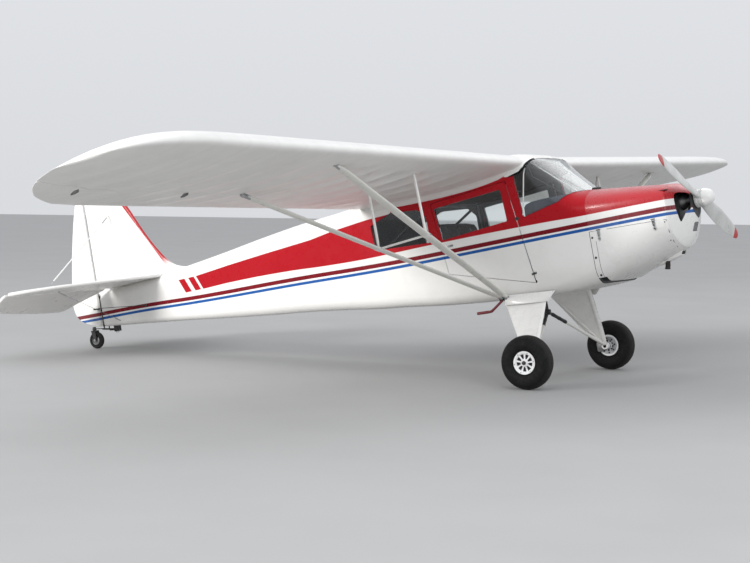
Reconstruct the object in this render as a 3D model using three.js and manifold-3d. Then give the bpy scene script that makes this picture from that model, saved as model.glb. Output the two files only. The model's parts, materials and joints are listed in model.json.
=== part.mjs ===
// A light aircraft: two seats, high braced wing, fixed legs and a tail wheel.
// Millimetres. Each piece is placed in the level frame, with x forward from the wing's leading
// edge, y to port and z up, and the whole is then pitched nose up, as it parks.

import * as THREE from "three";
import { mergeVertices } from "three/addons/utils/BufferGeometryUtils.js";
import Module from "manifold-3d";

const wasm = await Module();
wasm.setup();

// Driving dimensions

const PITCH = THREE.MathUtils.degToRad(11.5);
const SEAT_GAP = 0.4;

const WHEEL = { x: -64, y: 900, z: -1662, radius: 222, width: 158 };
const TAIL_WHEEL = { x: -5162, radius: 84, width: 50 };

const WALL = 25;
const SKIN = 7;
const GLASS = 5;
const FIREWALL_X = 490;
const CABIN_REAR_X = -1600;
const STERN_X = -5030;
const NOSE_SEAM_X = 1134;

const WING = {
  inner: 180,
  front: -16,
  incidence: THREE.MathUtils.degToRad(3),
  dihedral: THREE.MathUtils.degToRad(1.05),
  rootY: 500,
};
const AILERON = { inner: 2750, outer: 5294, hingeX: -1118, hingeZ: -64, nose: 64, gap: 7 };

const RUDDER_HINGE_X = -5045;
const ELEVATOR = {
  hingeX: -4880,
  z: -270,
  droop: THREE.MathUtils.degToRad(20),
  tube: 12,
};
const PROPELLER = { x: 1304, z: -578, radius: 870, turn: THREE.MathUtils.degToRad(22.5) };

const STRUT_FOOT = { x: -354, y: 489, z: -1110 };
const AXLE_RADIUS = 16;
const CABANE_TIP = new THREE.Vector3(-216, 0, -1283);

// Colours and finishes

const finish = (color, roughness, metalness = 0) =>
  new THREE.MeshStandardMaterial({ color, roughness, metalness });
const whitePaint = finish(0xeceae4, 0.4);
const redPaint = finish(0xb3121c, 0.35);
const silverPaint = finish(0xc9cbca, 0.4, 0.4);
const blackPaint = finish(0x17181a, 0.5);
const stepPaint = finish(0x7c1620, 0.45);
const bareMetal = finish(0xb5b8bb, 0.35, 0.9);
const darkMetal = finish(0x4b4d4f, 0.5, 0.7);
const tyreRubber = finish(0x1a1a1b, 0.9);
const cloth = finish(0x5a5652, 0.9);
const pane = new THREE.MeshStandardMaterial({
  color: 0xcfdadb,
  roughness: 0.08,
  transparent: true,
  opacity: 0.35,
});

// Solids

const vector = (x, y, z) => new THREE.Vector3(x, y, z);

function solidFrom(geometry) {
  const bare = geometry.clone();
  bare.deleteAttribute("normal");
  bare.deleteAttribute("uv");
  const merged = mergeVertices(bare, 1e-3);
  const index = merged.index.array;
  const triVerts = [];
  for (let i = 0; i < index.length; i += 3) {
    const [a, b, c] = [index[i], index[i + 1], index[i + 2]];
    if (a !== b && b !== c && c !== a) triVerts.push(a, b, c);
  }
  return new wasm.Manifold(
    new wasm.Mesh({
      numProp: 3,
      vertProperties: merged.attributes.position.array,
      triVerts: new Uint32Array(triVerts),
    }),
  );
}

function geometryFrom(solid) {
  const mesh = solid.getMesh();
  const geometry = new THREE.BufferGeometry();
  const positions = new THREE.BufferAttribute(mesh.vertProperties, mesh.numProp);
  geometry.setAttribute("position", positions);
  geometry.setIndex(new THREE.BufferAttribute(mesh.triVerts, 1));
  return geometry;
}

// What is left of a shape once others are joined to it or cut from it.
function joined(first, ...others) {
  return others.reduce((sum, other) => sum.add(other), first);
}

function cut(first, ...others) {
  return others.reduce((rest, other) => rest.subtract(other), first);
}

// A solid through closed rings of as many points each, with a flat fan on both ends. Where the
// rings' second half mirrors the first, so do its faces.
function loft(rings, symmetric = false) {
  const count = rings[0].length;
  const points = rings.flat();
  const faces = [];
  for (let ring = 0; ring + 1 < rings.length; ring += 1) {
    for (let i = 0; i < count; i += 1) {
      const a = ring * count + i;
      const b = ring * count + ((i + 1) % count);
      const mirrored = symmetric && i >= count / 2;
      const [third, fourth] = mirrored ? [b + count, a] : [a + count, b];
      faces.push(a, b, third, fourth, b + count, a + count);
    }
  }
  for (const ring of [0, rings.length - 1]) {
    const centre = points.length;
    const middle = vector(0, 0, 0);
    for (const point of rings[ring]) middle.addScaledVector(point, 1 / count);
    points.push(middle);
    for (let i = 0; i < count; i += 1) {
      const a = ring * count + i;
      const b = ring * count + ((i + 1) % count);
      faces.push(...(ring === 0 ? [centre, b, a] : [centre, a, b]));
    }
  }
  const geometry = new THREE.BufferGeometry().setFromPoints(points);
  geometry.setIndex(faces);
  const solid = solidFrom(geometry);
  if (solid.volume() > 0) return solid;
  for (let i = 0; i < faces.length; i += 3) [faces[i], faces[i + 1]] = [faces[i + 1], faces[i]];
  geometry.setIndex(faces);
  return solidFrom(geometry);
}

function box(fromX, toX, fromY, toY, fromZ, toZ) {
  const shape = new THREE.BoxGeometry(toX - fromX, toY - fromY, toZ - fromZ);
  shape.translate((fromX + toX) / 2, (fromY + toY) / 2, (fromZ + toZ) / 2);
  return solidFrom(shape);
}

// A round bar between two points.
function rod(from, to, radius, sides = 10) {
  const along = to.clone().sub(from);
  const shape = new THREE.CylinderGeometry(radius, radius, along.length(), sides);
  const turn = new THREE.Quaternion();
  turn.setFromUnitVectors(vector(0, 1, 0), along.clone().normalize());
  shape.applyQuaternion(turn);
  const middle = from.clone().lerp(to, 0.5);
  shape.translate(middle.x, middle.y, middle.z);
  return solidFrom(shape);
}

// A streamlined bar, long in x and thin across, with its round ends drawn in.
function bar(from, to, chord, thickness, ends) {
  const along = to.clone().sub(from);
  const length = along.length();
  along.normalize();
  const deep = vector(1, 0, 0).addScaledVector(along, -along.x).normalize();
  const wide = along.clone().cross(deep);
  const stations = [
    [0, ends.size, ends.size],
    [ends.length, chord, thickness],
    [length - ends.length, chord, thickness],
    [length, ends.size, ends.size],
  ];
  return loft(
    stations.map(([distance, across, through]) => {
      const centre = from.clone().addScaledVector(along, distance);
      return circle(12).map(([c, s]) =>
        centre
          .clone()
          .addScaledVector(deep, (c * across) / 2)
          .addScaledVector(wide, (s * through) / 2),
      );
    }),
  );
}

function circle(sides) {
  const steps = Array.from({ length: sides }, (_, i) => (i * 2 * Math.PI) / sides);
  return steps.map((angle) => [Math.cos(angle), Math.sin(angle)]);
}

// A turned solid about y, from radius and y pairs.
function turned(profile, sides) {
  const points = profile.map(([radius, y]) => new THREE.Vector2(radius, y));
  return new THREE.LatheGeometry(points, sides);
}

// A side outline in x and z, carried from one y to another.
function prism(outline, fromY, toY) {
  const shape = new THREE.Shape(outline.map(([x, z]) => new THREE.Vector2(x, z)));
  const body = new THREE.ExtrudeGeometry(shape, { depth: toY - fromY, bevelEnabled: false });
  body.rotateX(Math.PI / 2);
  body.translate(0, toY, 0);
  return solidFrom(body);
}

// The outline moved inwards, or outwards where the distance is negative.
function inset(outline, distance) {
  const next = (i) => outline[(i + 1) % outline.length];
  const area = outline.reduce((sum, [x, z], i) => sum + x * next(i)[1] - next(i)[0] * z, 0);
  const inwards = Math.sign(area) * distance;
  const edges = outline.map(([x, z], i) => {
    const [dx, dz] = [next(i)[0] - x, next(i)[1] - z];
    const length = Math.hypot(dx, dz);
    return { x: x - (dz / length) * inwards, z: z + (dx / length) * inwards, dx, dz };
  });
  return edges.map((edge, i) => {
    const last = edges[(i + edges.length - 1) % edges.length];
    const cross = last.dx * edge.dz - last.dz * edge.dx;
    const step = ((edge.x - last.x) * edge.dz - (edge.z - last.z) * edge.dx) / cross;
    return [last.x + last.dx * step, last.z + last.dz * step];
  });
}

// A flat surface with rounded edges: an outline in two axes and its whole thickness.
function rounded(outline, thickness, edge) {
  const shape = new THREE.Shape(outline.map(([x, y]) => new THREE.Vector2(x, y)));
  const half = thickness / 2;
  const body = new THREE.ExtrudeGeometry(shape, {
    depth: thickness * 0.3,
    bevelThickness: thickness * 0.35,
    bevelSize: edge,
    bevelOffset: -edge,
    bevelSegments: 2,
  });
  body.translate(0, 0, thickness * 0.35 - half);
  return body;
}

// Pieces are added here, in the level frame

const aircraft = new THREE.Group();
aircraft.rotation.y = -PITCH;

function add(name, solid, material) {
  const geometry = solid.isBufferGeometry ? solid : geometryFrom(solid);
  const mesh = new THREE.Mesh(geometry, material);
  mesh.name = name;
  aircraft.add(mesh);
}

// The same piece on both sides, given for the port side.
function addPair(name, solid, material) {
  const geometry = solid.isBufferGeometry ? solid : geometryFrom(solid);
  for (const [side, sign] of [["left", 1], ["right", -1]]) {
    const mesh = new THREE.Mesh(geometry, material);
    mesh.name = `${name}_${side}`;
    mesh.scale.y = sign;
    aircraft.add(mesh);
  }
}

// Fuselage sections: x, half width, bottom, shoulder, top, fullness of the arch, corner radius.
// Round sections end with two more: how far the corner gives way to a round keel, from 0 to 1,
// and the fullness of the keel's curve.

const CABIN_SECTIONS = [
  [490, 480, -1135, -540, -340, 2.6, 150],
  [380, 486, -1143, -530, -327, 2.8, 130],
  [250, 492, -1149, -470, -190, 2.8, 105],
  [120, 498, -1150, -340, -53, 3, 90],
  [60, 500, -1150, -260, 10, 3.4, 90],
  [-20, 500, -1148, -200, 55, 4, 90],
  [-160, 500, -1143, -190, 88, 4.5, 90],
  [-500, 500, -1118, -190, 98, 4.5, 90],
  [-950, 500, -1077, -190, 62, 4, 90],
  [-1350, 500, -1028, -200, 8, 3.5, 90],
  [-1600, 490, -1003, -230, -25, 3, 90],
];
const TAIL_SECTIONS = [
  [-1600, 490, -1003, -230, -25, 3, 90],
  [-1950, 446, -957, -260, -53, 2.6, 90],
  [-2400, 392, -906, -290, -76, 2.4, 85],
  [-2900, 330, -860, -315, -122, 2.3, 80],
  [-3400, 268, -808, -340, -180, 2.2, 70],
  [-3900, 205, -753, -360, -230, 2.2, 60],
  [-4470, 128, -698, -380, -265, 2, 50],
  [-5030, 36, -645, -400, -312, 2, 20],
];
const COWL_SECTIONS = [
  [490, 480, -1135, -540, -340, 2.6, 150, 0, 2],
  [660, 474, -1108, -545, -362, 2.6, 145, 0.25, 2],
  [880, 456, -1052, -550, -390, 2.6, 140, 0.6, 2],
  [1020, 434, -1002, -555, -409, 2.6, 150, 0.85, 2],
  [1134, 405, -960, -560, -423, 2.5, 160, 1, 2],
];
const NOSE_SECTIONS = [
  [1134, 405, -960, -560, -423, 2.5, 160, 1, 2],
  [1170, 356, -918, -562, -434, 2.4, 160, 1, 1.75],
  [1205, 282, -863, -565, -458, 2.3, 140, 1, 1.5],
  [1238, 196, -792, -568, -482, 2.1, 100, 1, 1.5],
  [1262, 124, -737, -570, -502, 2, 60, 1, 1.5],
];
const KEEL_START = 0.2;

function bodyRing(section, inward) {
  const [x, halfWidth, bottom, shoulder, top, fullness, corner, keel = 0, keelFullness = 2] = section;
  const width = halfWidth - inward;
  const low = bottom + inward;
  const high = top - inward;
  const radius = Math.max(corner - inward, 12);
  const waist = shoulder + KEEL_START * (low - shoulder);
  const power = 2 / keelFullness;
  const half = [[0, low]];
  for (const [turn, keelTurn] of [[0, 22], [30, 44], [60, 67], [90, 90]]) {
    const angle = THREE.MathUtils.degToRad(turn);
    const keelAngle = THREE.MathUtils.degToRad(keelTurn);
    const y = width - radius + radius * Math.sin(angle);
    const z = low + radius - radius * Math.cos(angle);
    const keelY = width * Math.sin(keelAngle) ** power;
    const keelZ = waist + (low - waist) * Math.max(Math.cos(keelAngle), 0) ** power;
    half.push([THREE.MathUtils.lerp(y, keelY, keel), THREE.MathUtils.lerp(z, keelZ, keel)]);
  }
  for (const turn of [0, 18, 34, 48, 62, 76]) {
    const angle = THREE.MathUtils.degToRad(turn);
    const y = width * Math.cos(angle) ** (2 / fullness);
    half.push([y, shoulder + (high - shoulder) * Math.sin(angle) ** (2 / fullness)]);
  }
  half.push([0, high]);
  const other = half.slice(1, -1).reverse();
  return [
    ...half.map(([y, z]) => vector(x, y, z)),
    ...other.map(([y, z]) => vector(x, -y, z)),
  ];
}

// The form of a body through its sections, drawn in by a wall and kept between two planes.
function bodyForm(sections, inward = 0, fromX = -Infinity, toX = Infinity) {
  const form = loft(sections.map((section) => bodyRing(section, inward)), true);
  if (fromX === -Infinity && toX === Infinity) return form;
  return form.intersect(box(fromX, toX, -2000, 2000, -2000, 1000));
}

const moved = (sections, y, z) => {
  const form = geometryFrom(bodyForm(sections));
  form.translate(0, y, z);
  return solidFrom(form);
};

// Side outlines of the openings, in x and z

const WINDSHIELD = [[-58, -473], [265, -405], [392, -328], [560, 150], [120, 150], [52, 18], [-9, -64], [-91, -121]];
const DOOR = [[-166, -140], [-30, -1035], [-690, -955], [-850, -840], [-905, -192]];
const DOOR_WINDOW = [[-226, -203], [-212, -475], [-841, -525], [-876, -243]];
const REAR_WINDOW = [[-1525, -272], [-1308, -195], [-1036, -220], [-962, -300], [-962, -521], [-1516, -493]];
const DOOR_GAP = 6;

// Cabin

const cabinOutside = bodyForm(CABIN_SECTIONS);
const cabinInside = bodyForm(CABIN_SECTIONS, WALL, CABIN_REAR_X + WALL, FIREWALL_X - WALL);
const cabinWall = cut(cabinOutside, cabinInside);

function windowPane(outline) {
  return prism(inset(outline, SEAT_GAP), 500 - WALL + 8, 500 - WALL + 8 + GLASS);
}

const glassShell = cut(
  bodyForm(CABIN_SECTIONS, SEAT_GAP, CABIN_REAR_X + WALL, FIREWALL_X - WALL),
  bodyForm(CABIN_SECTIONS, SEAT_GAP + GLASS),
);
add("windshield", glassShell.intersect(prism(inset(WINDSHIELD, 1), -600, 600)), pane);

// The door hangs on two hinges along its front edge, outside the skin.
const HINGE = { y: 508, radius: 7, length: 50, strap: 45, places: [0.14, 0.86] };
const [doorTop, doorFoot] = DOOR;
const hingeLine = vector(doorTop[0], HINGE.y, doorTop[1]);
const hingeEnd = vector(doorFoot[0], HINGE.y, doorFoot[1]);
const hingeAxis = hingeEnd.clone().sub(hingeLine).normalize();
const hingeAhead = vector(0, 1, 0).cross(hingeAxis).negate();

// One knuckle on the hinge line with its strap: ahead to the jamb, or aft to the door.
function knuckle(place, from, to, strapReach, stepReach) {
  const centre = hingeLine.clone().lerp(hingeEnd, place);
  const top = centre.clone().addScaledVector(hingeAxis, from);
  const foot = centre.clone().addScaledVector(hingeAxis, to);
  const strap = (near, far, inner) => {
    const corners = [[top, near], [top, far], [foot, far], [foot, near]];
    const outline = corners.map(([end, reach]) => end.clone().addScaledVector(hingeAhead, reach));
    return prism(outline.map(({ x, z }) => [x, z]), inner, HINGE.y - 4.5);
  };
  return joined(
    rod(top, foot, HINGE.radius),
    strap(0, stepReach, HINGE.y - 7.2),
    strap(stepReach, strapReach, HINGE.y - 9.5),
  );
}
const half = HINGE.length / 2;
const doorKnuckles = HINGE.places.map((place) => knuckle(place, -half, half, -HINGE.strap, -16));
const jambKnuckles = HINGE.places.flatMap((place) => [
  knuckle(place, -half - 20, -half - SEAT_GAP, HINGE.strap, 8),
  knuckle(place, half + SEAT_GAP, half + 20, HINGE.strap, 8),
]);

// The door's front face stands back from the jamb and is bevelled inside, so that it can swing.
const FRONT_GAP = 14;
const frontRing = ([x, z], rise) => [
  vector(x + 20, 440, z + rise),
  vector(x + 20, 500.5, z + rise),
  vector(x - FRONT_GAP, 500.5, z + rise),
  vector(x - FRONT_GAP, 440, z + rise),
];
const bevelRing = ([x, z], rise) => [
  vector(x - 10, 440, z + rise),
  vector(x - 10, 498, z + rise),
  vector(x - FRONT_GAP, 494, z + rise),
  vector(x - FRONT_GAP - 57, 440, z + rise),
];
const frontCuts = [frontRing, bevelRing].map((ring) => loft([ring(doorTop, 20), ring(doorFoot, -20)]));
const door = joined(
  cut(
    cabinWall.intersect(prism(inset(DOOR, DOOR_GAP), 420, 600)),
    prism(DOOR_WINDOW, 420, 600),
    ...frontCuts,
  ),
  ...doorKnuckles,
);
const mirrorOf = (solid) => {
  const other = geometryFrom(solid).toNonIndexed();
  const { array } = other.attributes.position;
  for (let i = 0; i < array.length; i += 9) {
    for (let axis = 0; axis < 3; axis += 1) {
      const kept = array[i + axis];
      array[i + axis] = array[i + 3 + axis];
      array[i + 3 + axis] = kept;
    }
    for (const corner of [1, 4, 7]) array[i + corner] *= -1;
  }
  return solidFrom(other);
};
const cabinShell = joined(
  cut(
    cabinWall,
    prism(WINDSHIELD, -600, 600),
    prism(DOOR, 420, 600),
    prism(DOOR, -600, -420),
    prism(REAR_WINDOW, 420, 600),
    prism(REAR_WINDOW, -600, -420),
  ),
  ...jambKnuckles,
  ...jambKnuckles.map(mirrorOf),
);
add("cabin_shell", cabinShell, whitePaint);

addPair("door", door, redPaint);
addPair("door_window", windowPane(DOOR_WINDOW), pane);
addPair("rear_window", windowPane(REAR_WINDOW), pane);

// Cowl, nose bowl and engine

const BOSS = { rear: 1272, front: 1337, radius: 76 };
const ENGINE = { rear: 730, front: 1150, z: -600 };
const CHEEK = { inner: 110, outer: 296, low: -660, high: -520 };
const EXHAUST = { x: 985, y: -150, drop: -1092, radius: 22 };

const cowlShell = cut(
  bodyForm(COWL_SECTIONS, 0, FIREWALL_X + SEAT_GAP, NOSE_SEAM_X - SEAT_GAP),
  bodyForm(COWL_SECTIONS, SKIN),
  box(FIREWALL_X, 640, -160, 160, -1200, -1000),
  rod(vector(EXHAUST.x, EXHAUST.y, -900), vector(EXHAUST.x, EXHAUST.y, -1200), 34),
);
add("cowl", cowlShell, redPaint);

const cheek = (sign) => {
  const low = sign > 0 ? CHEEK.inner : -CHEEK.outer;
  const high = sign > 0 ? CHEEK.outer : -CHEEK.inner;
  return box(1100, 1300, low, high, CHEEK.low, CHEEK.high);
};
const noseBowl = cut(
  bodyForm(NOSE_SECTIONS, 0, NOSE_SEAM_X + SEAT_GAP, 1400),
  bodyForm(NOSE_SECTIONS, SKIN, NOSE_SEAM_X - 1, 1254),
  cheek(1),
  cheek(-1),
  rod(vector(1200, 0, PROPELLER.z), vector(1300, 0, PROPELLER.z), 52, 16),
  box(1150, 1300, -50, 50, -836, -768),
);
add("nose_bowl", noseBowl, whitePaint);

// Air scoop under the nose: x, half width, bottom
const SCOOP = { y: 0, top: -880, wall: 6 };
const SCOOP_SECTIONS = [
  [850, 40, -1066],
  [900, 56, -1062],
  [1000, 58, -1032],
  [1078, 58, -1014],
  [1146, 56, -938],
];
const scoopRing = ([x, halfWidth, bottom], inward) => {
  const width = halfWidth - inward;
  const low = bottom + inward;
  const soft = 14;
  return [
    vector(x, SCOOP.y - width, SCOOP.top),
    vector(x, SCOOP.y - width, low + soft),
    vector(x, SCOOP.y - width + soft, low),
    vector(x, SCOOP.y + width - soft, low),
    vector(x, SCOOP.y + width, low + soft),
    vector(x, SCOOP.y + width, SCOOP.top),
  ];
};
const scoopForm = (inward, sections) => loft(sections.map((section) => scoopRing(section, inward)));
const wholeNose = [...COWL_SECTIONS, ...NOSE_SECTIONS.slice(1)];
const scoop = cut(
  scoopForm(0, SCOOP_SECTIONS),
  scoopForm(SCOOP.wall, SCOOP_SECTIONS.slice(2)),
  box(1084, 1200, SCOOP.y - 46, SCOOP.y + 46, -1002, -900),
  moved(wholeNose, 0, -SEAT_GAP),
);
add("chin_scoop", scoop, whitePaint);

// A flat four: crankcase, four finned barrels and the shaft that carries the propeller.
const BARREL = { near: 90, far: 372, radius: 50, fin: 74, fins: 5, pitch: 44, finWidth: 9 };
const barrels = [];
for (const x of [860, 1040]) {
  for (const side of [1, -1]) {
    const foot = vector(x, side * BARREL.near, ENGINE.z);
    barrels.push(rod(foot, vector(x, side * BARREL.far, ENGINE.z), BARREL.radius, 10));
    for (let fin = 0; fin < BARREL.fins; fin += 1) {
      const y = side * (BARREL.near + 70 + fin * BARREL.pitch);
      const [low, high] = [y - BARREL.finWidth / 2, y + BARREL.finWidth / 2];
      const { fin: reach } = BARREL;
      barrels.push(box(x - reach, x + reach, low, high, ENGINE.z - reach, ENGINE.z + reach));
    }
  }
}
const exhaustTop = vector(EXHAUST.x, EXHAUST.y, ENGINE.z);
const exhaustEnd = vector(EXHAUST.x, EXHAUST.y, EXHAUST.drop);
const engine = joined(
  box(ENGINE.rear, ENGINE.front, -110, 110, -760, -510),
  box(FIREWALL_X + 1, ENGINE.rear + 5, -90, 90, -720, -540),
  rod(vector(1140, 0, PROPELLER.z), vector(BOSS.rear - SEAT_GAP, 0, PROPELLER.z), 34, 16),
  rod(exhaustTop, exhaustEnd, EXHAUST.radius, 12),
  ...barrels,
);
add("engine", engine, darkMetal);

// Propeller

const BLADE = [
  // distance out, chord, thickness, blade angle in degrees
  [0, 66, 58, 40],
  [90, 84, 52, 38],
  [220, 116, 34, 30],
  [430, 150, 22, 24],
  [640, 136, 15, 19],
  [790, 100, 10, 16],
  [850, 62, 7, 15],
  [870, 22, 5, 15],
];

function blade(turn) {
  const out = vector(0, Math.cos(turn), Math.sin(turn));
  const ahead = vector(1, 0, 0);
  const sweep = ahead.clone().cross(out);
  const rings = BLADE.map(([distance, chord, thickness, degrees]) => {
    const angle = THREE.MathUtils.degToRad(degrees);
    const along = sweep.clone().multiplyScalar(Math.cos(angle));
    along.addScaledVector(ahead, Math.sin(angle));
    const through = along.clone().cross(out);
    const centre = vector(PROPELLER.x, 0, PROPELLER.z).addScaledVector(out, distance);
    return circle(12).map(([c, s]) =>
      centre
        .clone()
        .addScaledVector(along, (c * chord) / 2)
        .addScaledVector(through, (s * thickness) / 2),
    );
  });
  return loft(rings);
}

const boss = rod(
  vector(BOSS.rear, 0, PROPELLER.z),
  vector(BOSS.front, 0, PROPELLER.z),
  BOSS.radius,
  20,
);
const starboardTurn = Math.PI - PROPELLER.turn;
add("propeller", joined(boss, blade(starboardTurn), blade(-PROPELLER.turn)), whitePaint);

const domeProfile = [[0, 0], [74, 0], [74, 18], [66, 48], [50, 70], [28, 84], [0, 88]];
const dome = turned(domeProfile, 20);
dome.rotateZ(-Math.PI / 2);
dome.translate(BOSS.front + SEAT_GAP, 0, PROPELLER.z);
add("propeller_dome", dome, silverPaint);

// Fuel cap ahead of the windshield, with its gauge wire

const cap = turned([[0, 0], [38, 0], [38, 22], [30, 30], [0, 30]], 16);
cap.rotateX(Math.PI / 2);
cap.translate(425, 0, -338);
const capWire = rod(vector(425, 0, -320), vector(425, 0, -224), 3, 8);
const deck = moved(CABIN_SECTIONS, 0, SEAT_GAP);
add("fuel_cap", cut(joined(solidFrom(cap), capWire), deck), blackPaint);

// Wing, by planform stations: y, leading edge, trailing edge

const PLANFORM = [
  [180, 0, -1628],
  [1900, 0, -1628],
  [4300, 0, -1628],
  [4570, 0, -1600],
  [4890, -4, -1450],
  [5050, -22, -1335],
  [5200, -62, -1200],
  [5330, -135, -1040],
  [5420, -235, -885],
  [5470, -345, -775],
  [5486, -480, -640],
];
const AIRFOIL_STEPS = [0, 0.012, 0.05, 0.12, 0.22, 0.35, 0.5, 0.65, 0.8, 0.92, 1];
const AIRFOIL = { thickness: 0.12, bend: 0.2025, lift: 15.957 };

// A cambered section whose camber ends at the bend: heights over and under the chord line.
function airfoil(part) {
  const { thickness, bend, lift } = AIRFOIL;
  const series = 0.2969 * Math.sqrt(part) - 0.126 * part - 0.3516 * part ** 2;
  const half = 5 * thickness * (series + 0.2843 * part ** 3 - 0.1015 * part ** 4);
  const rear = (lift / 6) * bend ** 3 * (1 - part);
  const curve = part ** 3 - 3 * bend * part ** 2 + bend ** 2 * (3 - bend) * part;
  const camber = part < bend ? (lift / 6) * curve : rear;
  return { over: camber + half, under: camber - half };
}

function chordHeight(x, y) {
  const rise = (y - WING.rootY) * Math.tan(WING.dihedral);
  return WING.front + rise + x * Math.tan(WING.incidence);
}

function wingForm() {
  const upper = AIRFOIL_STEPS.map((part) => [part, airfoil(part).over]);
  const lower = AIRFOIL_STEPS.slice(1).reverse().map((part) => [part, airfoil(part).under]);
  const rings = PLANFORM.map(([y, front, rear]) => {
    const chord = front - rear;
    return [...upper, ...lower].map(([part, height]) => {
      const x = front - part * chord;
      return vector(x, y, chordHeight(x, y) + height * chord);
    });
  });
  return loft(rings);
}

const hingePoint = (y) => {
  const rise = (y - WING.rootY) * Math.tan(WING.dihedral);
  return vector(AILERON.hingeX, y, AILERON.hingeZ + rise);
};

function aileronZone(grow) {
  const { inner, outer, hingeX, nose } = AILERON;
  const ends = [hingePoint(inner - grow), hingePoint(outer + grow)];
  const rear = box(-1800, hingeX, inner - grow, outer + grow, -400, 400);
  return joined(rod(...ends, nose + grow, 20), rear);
}

const wingSolid = wingForm();
const bodySide = moved(CABIN_SECTIONS, SEAT_GAP, SEAT_GAP);
const tailSide = moved(TAIL_SECTIONS, SEAT_GAP, SEAT_GAP);
const aileronPin = (radius, length) =>
  rod(hingePoint(AILERON.inner - length), hingePoint(AILERON.inner + 20), radius, 20);
const PIN_RADIUS = 8;
const bareWing = cut(
  wingSolid,
  bodySide,
  tailSide,
  aileronZone(AILERON.gap),
  aileronPin(PIN_RADIUS + SEAT_GAP, 31),
);
addPair("wing", bareWing, whitePaint);
const aileron = joined(wingSolid.intersect(aileronZone(0)), aileronPin(PIN_RADIUS, 30));
addPair("aileron", aileron, whitePaint);

// Lift struts and their jury struts

const loweredWing = geometryFrom(wingSolid);
loweredWing.translate(0, 0, -SEAT_GAP);
const underWing = solidFrom(loweredWing);
const bodyBeside = moved(CABIN_SECTIONS, SEAT_GAP, -SEAT_GAP);

const FRONT_STRUT = {
  foot: vector(STRUT_FOOT.x + 18, STRUT_FOOT.y, STRUT_FOOT.z),
  head: vector(-214, 3145, -20),
  chord: 72,
  thickness: 30,
};
const REAR_STRUT = {
  foot: vector(STRUT_FOOT.x - 18, STRUT_FOOT.y, STRUT_FOOT.z),
  head: vector(-1026, 3138, -84),
  chord: 58,
  thickness: 25,
};

// A strut with the lug that pins it to the body, larger all round where it cuts a neighbour.
function strutForm({ foot, head, chord, thickness }, grow = 0) {
  const lug = rod(foot.clone().setY(430), foot.clone().setY(foot.y + 8 + grow), 11 + grow);
  const ends = { size: 26 + 2 * grow, length: 150 };
  return joined(bar(foot, head, chord + 2 * grow, thickness + 2 * grow, ends), lug);
}
addPair("front_strut", cut(strutForm(FRONT_STRUT), underWing, bodyBeside), silverPaint);
addPair("rear_strut", cut(strutForm(REAR_STRUT), underWing, bodyBeside), silverPaint);
const aroundStruts = joined(strutForm(FRONT_STRUT, SEAT_GAP), strutForm(REAR_STRUT, SEAT_GAP));

const JURY = { y: 1850, radius: 9, frontX: -290, rearX: -712, clamp: 20 };
const onStrut = ({ foot, head }, y) =>
  foot.clone().lerp(head, (y - foot.y) / (head.y - foot.y));
const juryClamp = (line, radius) =>
  rod(onStrut(line, JURY.y - JURY.clamp), onStrut(line, JURY.y + JURY.clamp), radius, 12);
const juryFeet = [onStrut(FRONT_STRUT, JURY.y), onStrut(REAR_STRUT, JURY.y)];
const jury = joined(
  rod(juryFeet[0], vector(JURY.frontX, JURY.y, -20), JURY.radius, 8),
  rod(juryFeet[1], vector(JURY.rearX, JURY.y, -40), JURY.radius, 8),
  rod(juryFeet[0], juryFeet[1], JURY.radius, 8),
  juryClamp(FRONT_STRUT, FRONT_STRUT.chord / 2 + 4),
  juryClamp(REAR_STRUT, REAR_STRUT.chord / 2 + 4),
);
addPair("jury_struts", cut(jury, aroundStruts, underWing), silverPaint);

// Undercarriage

const axleInner = vector(WHEEL.x, 772, WHEEL.z + 8);
const axleStart = vector(WHEEL.x, 752, WHEEL.z);
const legCollar = vector(WHEEL.x, 812, WHEEL.z);
const axleEnd = vector(WHEEL.x, 962, WHEEL.z);
const FAIRING = [
  // front x, rear x, y, z, thickness: the cloth fairing round both tubes of a leg
  [96, -345, 440, -1100, 60],
  [64, -312, 520, -1228, 56],
  [-12, -212, 676, -1490, 42],
  [-34, -110, 748, -1612, 38],
];

// A leg of two tubes and their fairing, larger all round where it cuts a neighbour.
function legForm(grow = 0) {
  const out = vector(0, 390, 236).normalize();
  const rings = FAIRING.map(([front, rear, y, z, thickness]) =>
    circle(14).map(([c, s]) => {
      const x = (front + rear) / 2 + c * ((front - rear) / 2 + grow);
      return vector(x, y, z).addScaledVector(out, s * (thickness / 2 + grow));
    }),
  );
  return joined(
    rod(vector(40, 440, -1120), axleInner, 19 + grow, 12),
    rod(vector(-360, 440, -1100), axleInner, 16 + grow, 12),
    loft(rings),
    rod(axleStart.clone().setY(axleStart.y - grow), axleEnd, AXLE_RADIUS + grow, 16),
    rod(axleStart.clone().setY(axleStart.y - grow), legCollar, 34 + grow, 16),
  );
}
const bodyAbove = moved(CABIN_SECTIONS, 0, -SEAT_GAP);
const aroundLeg = legForm(SEAT_GAP);
addPair("main_leg", cut(legForm(), bodyAbove, bodyBeside, aroundStruts), whitePaint);

// A vee of tubes under the belly, with the boss that the two shock struts pivot on.
function cabaneForm(grow = 0) {
  const bossEnd = 26 + grow;
  const { x, z } = CABANE_TIP;
  return joined(
    rod(CABANE_TIP, vector(x, 190, -1100), 13 + grow),
    rod(CABANE_TIP, vector(x, -190, -1100), 13 + grow),
    rod(CABANE_TIP, vector(x + 156, 0, -1120), 11 + grow),
    rod(vector(x - bossEnd, 0, z), vector(x + bossEnd, 0, z), 24 + grow, 12),
  );
}
add("cabane", cut(cabaneForm(), bodyAbove), blackPaint);

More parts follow.
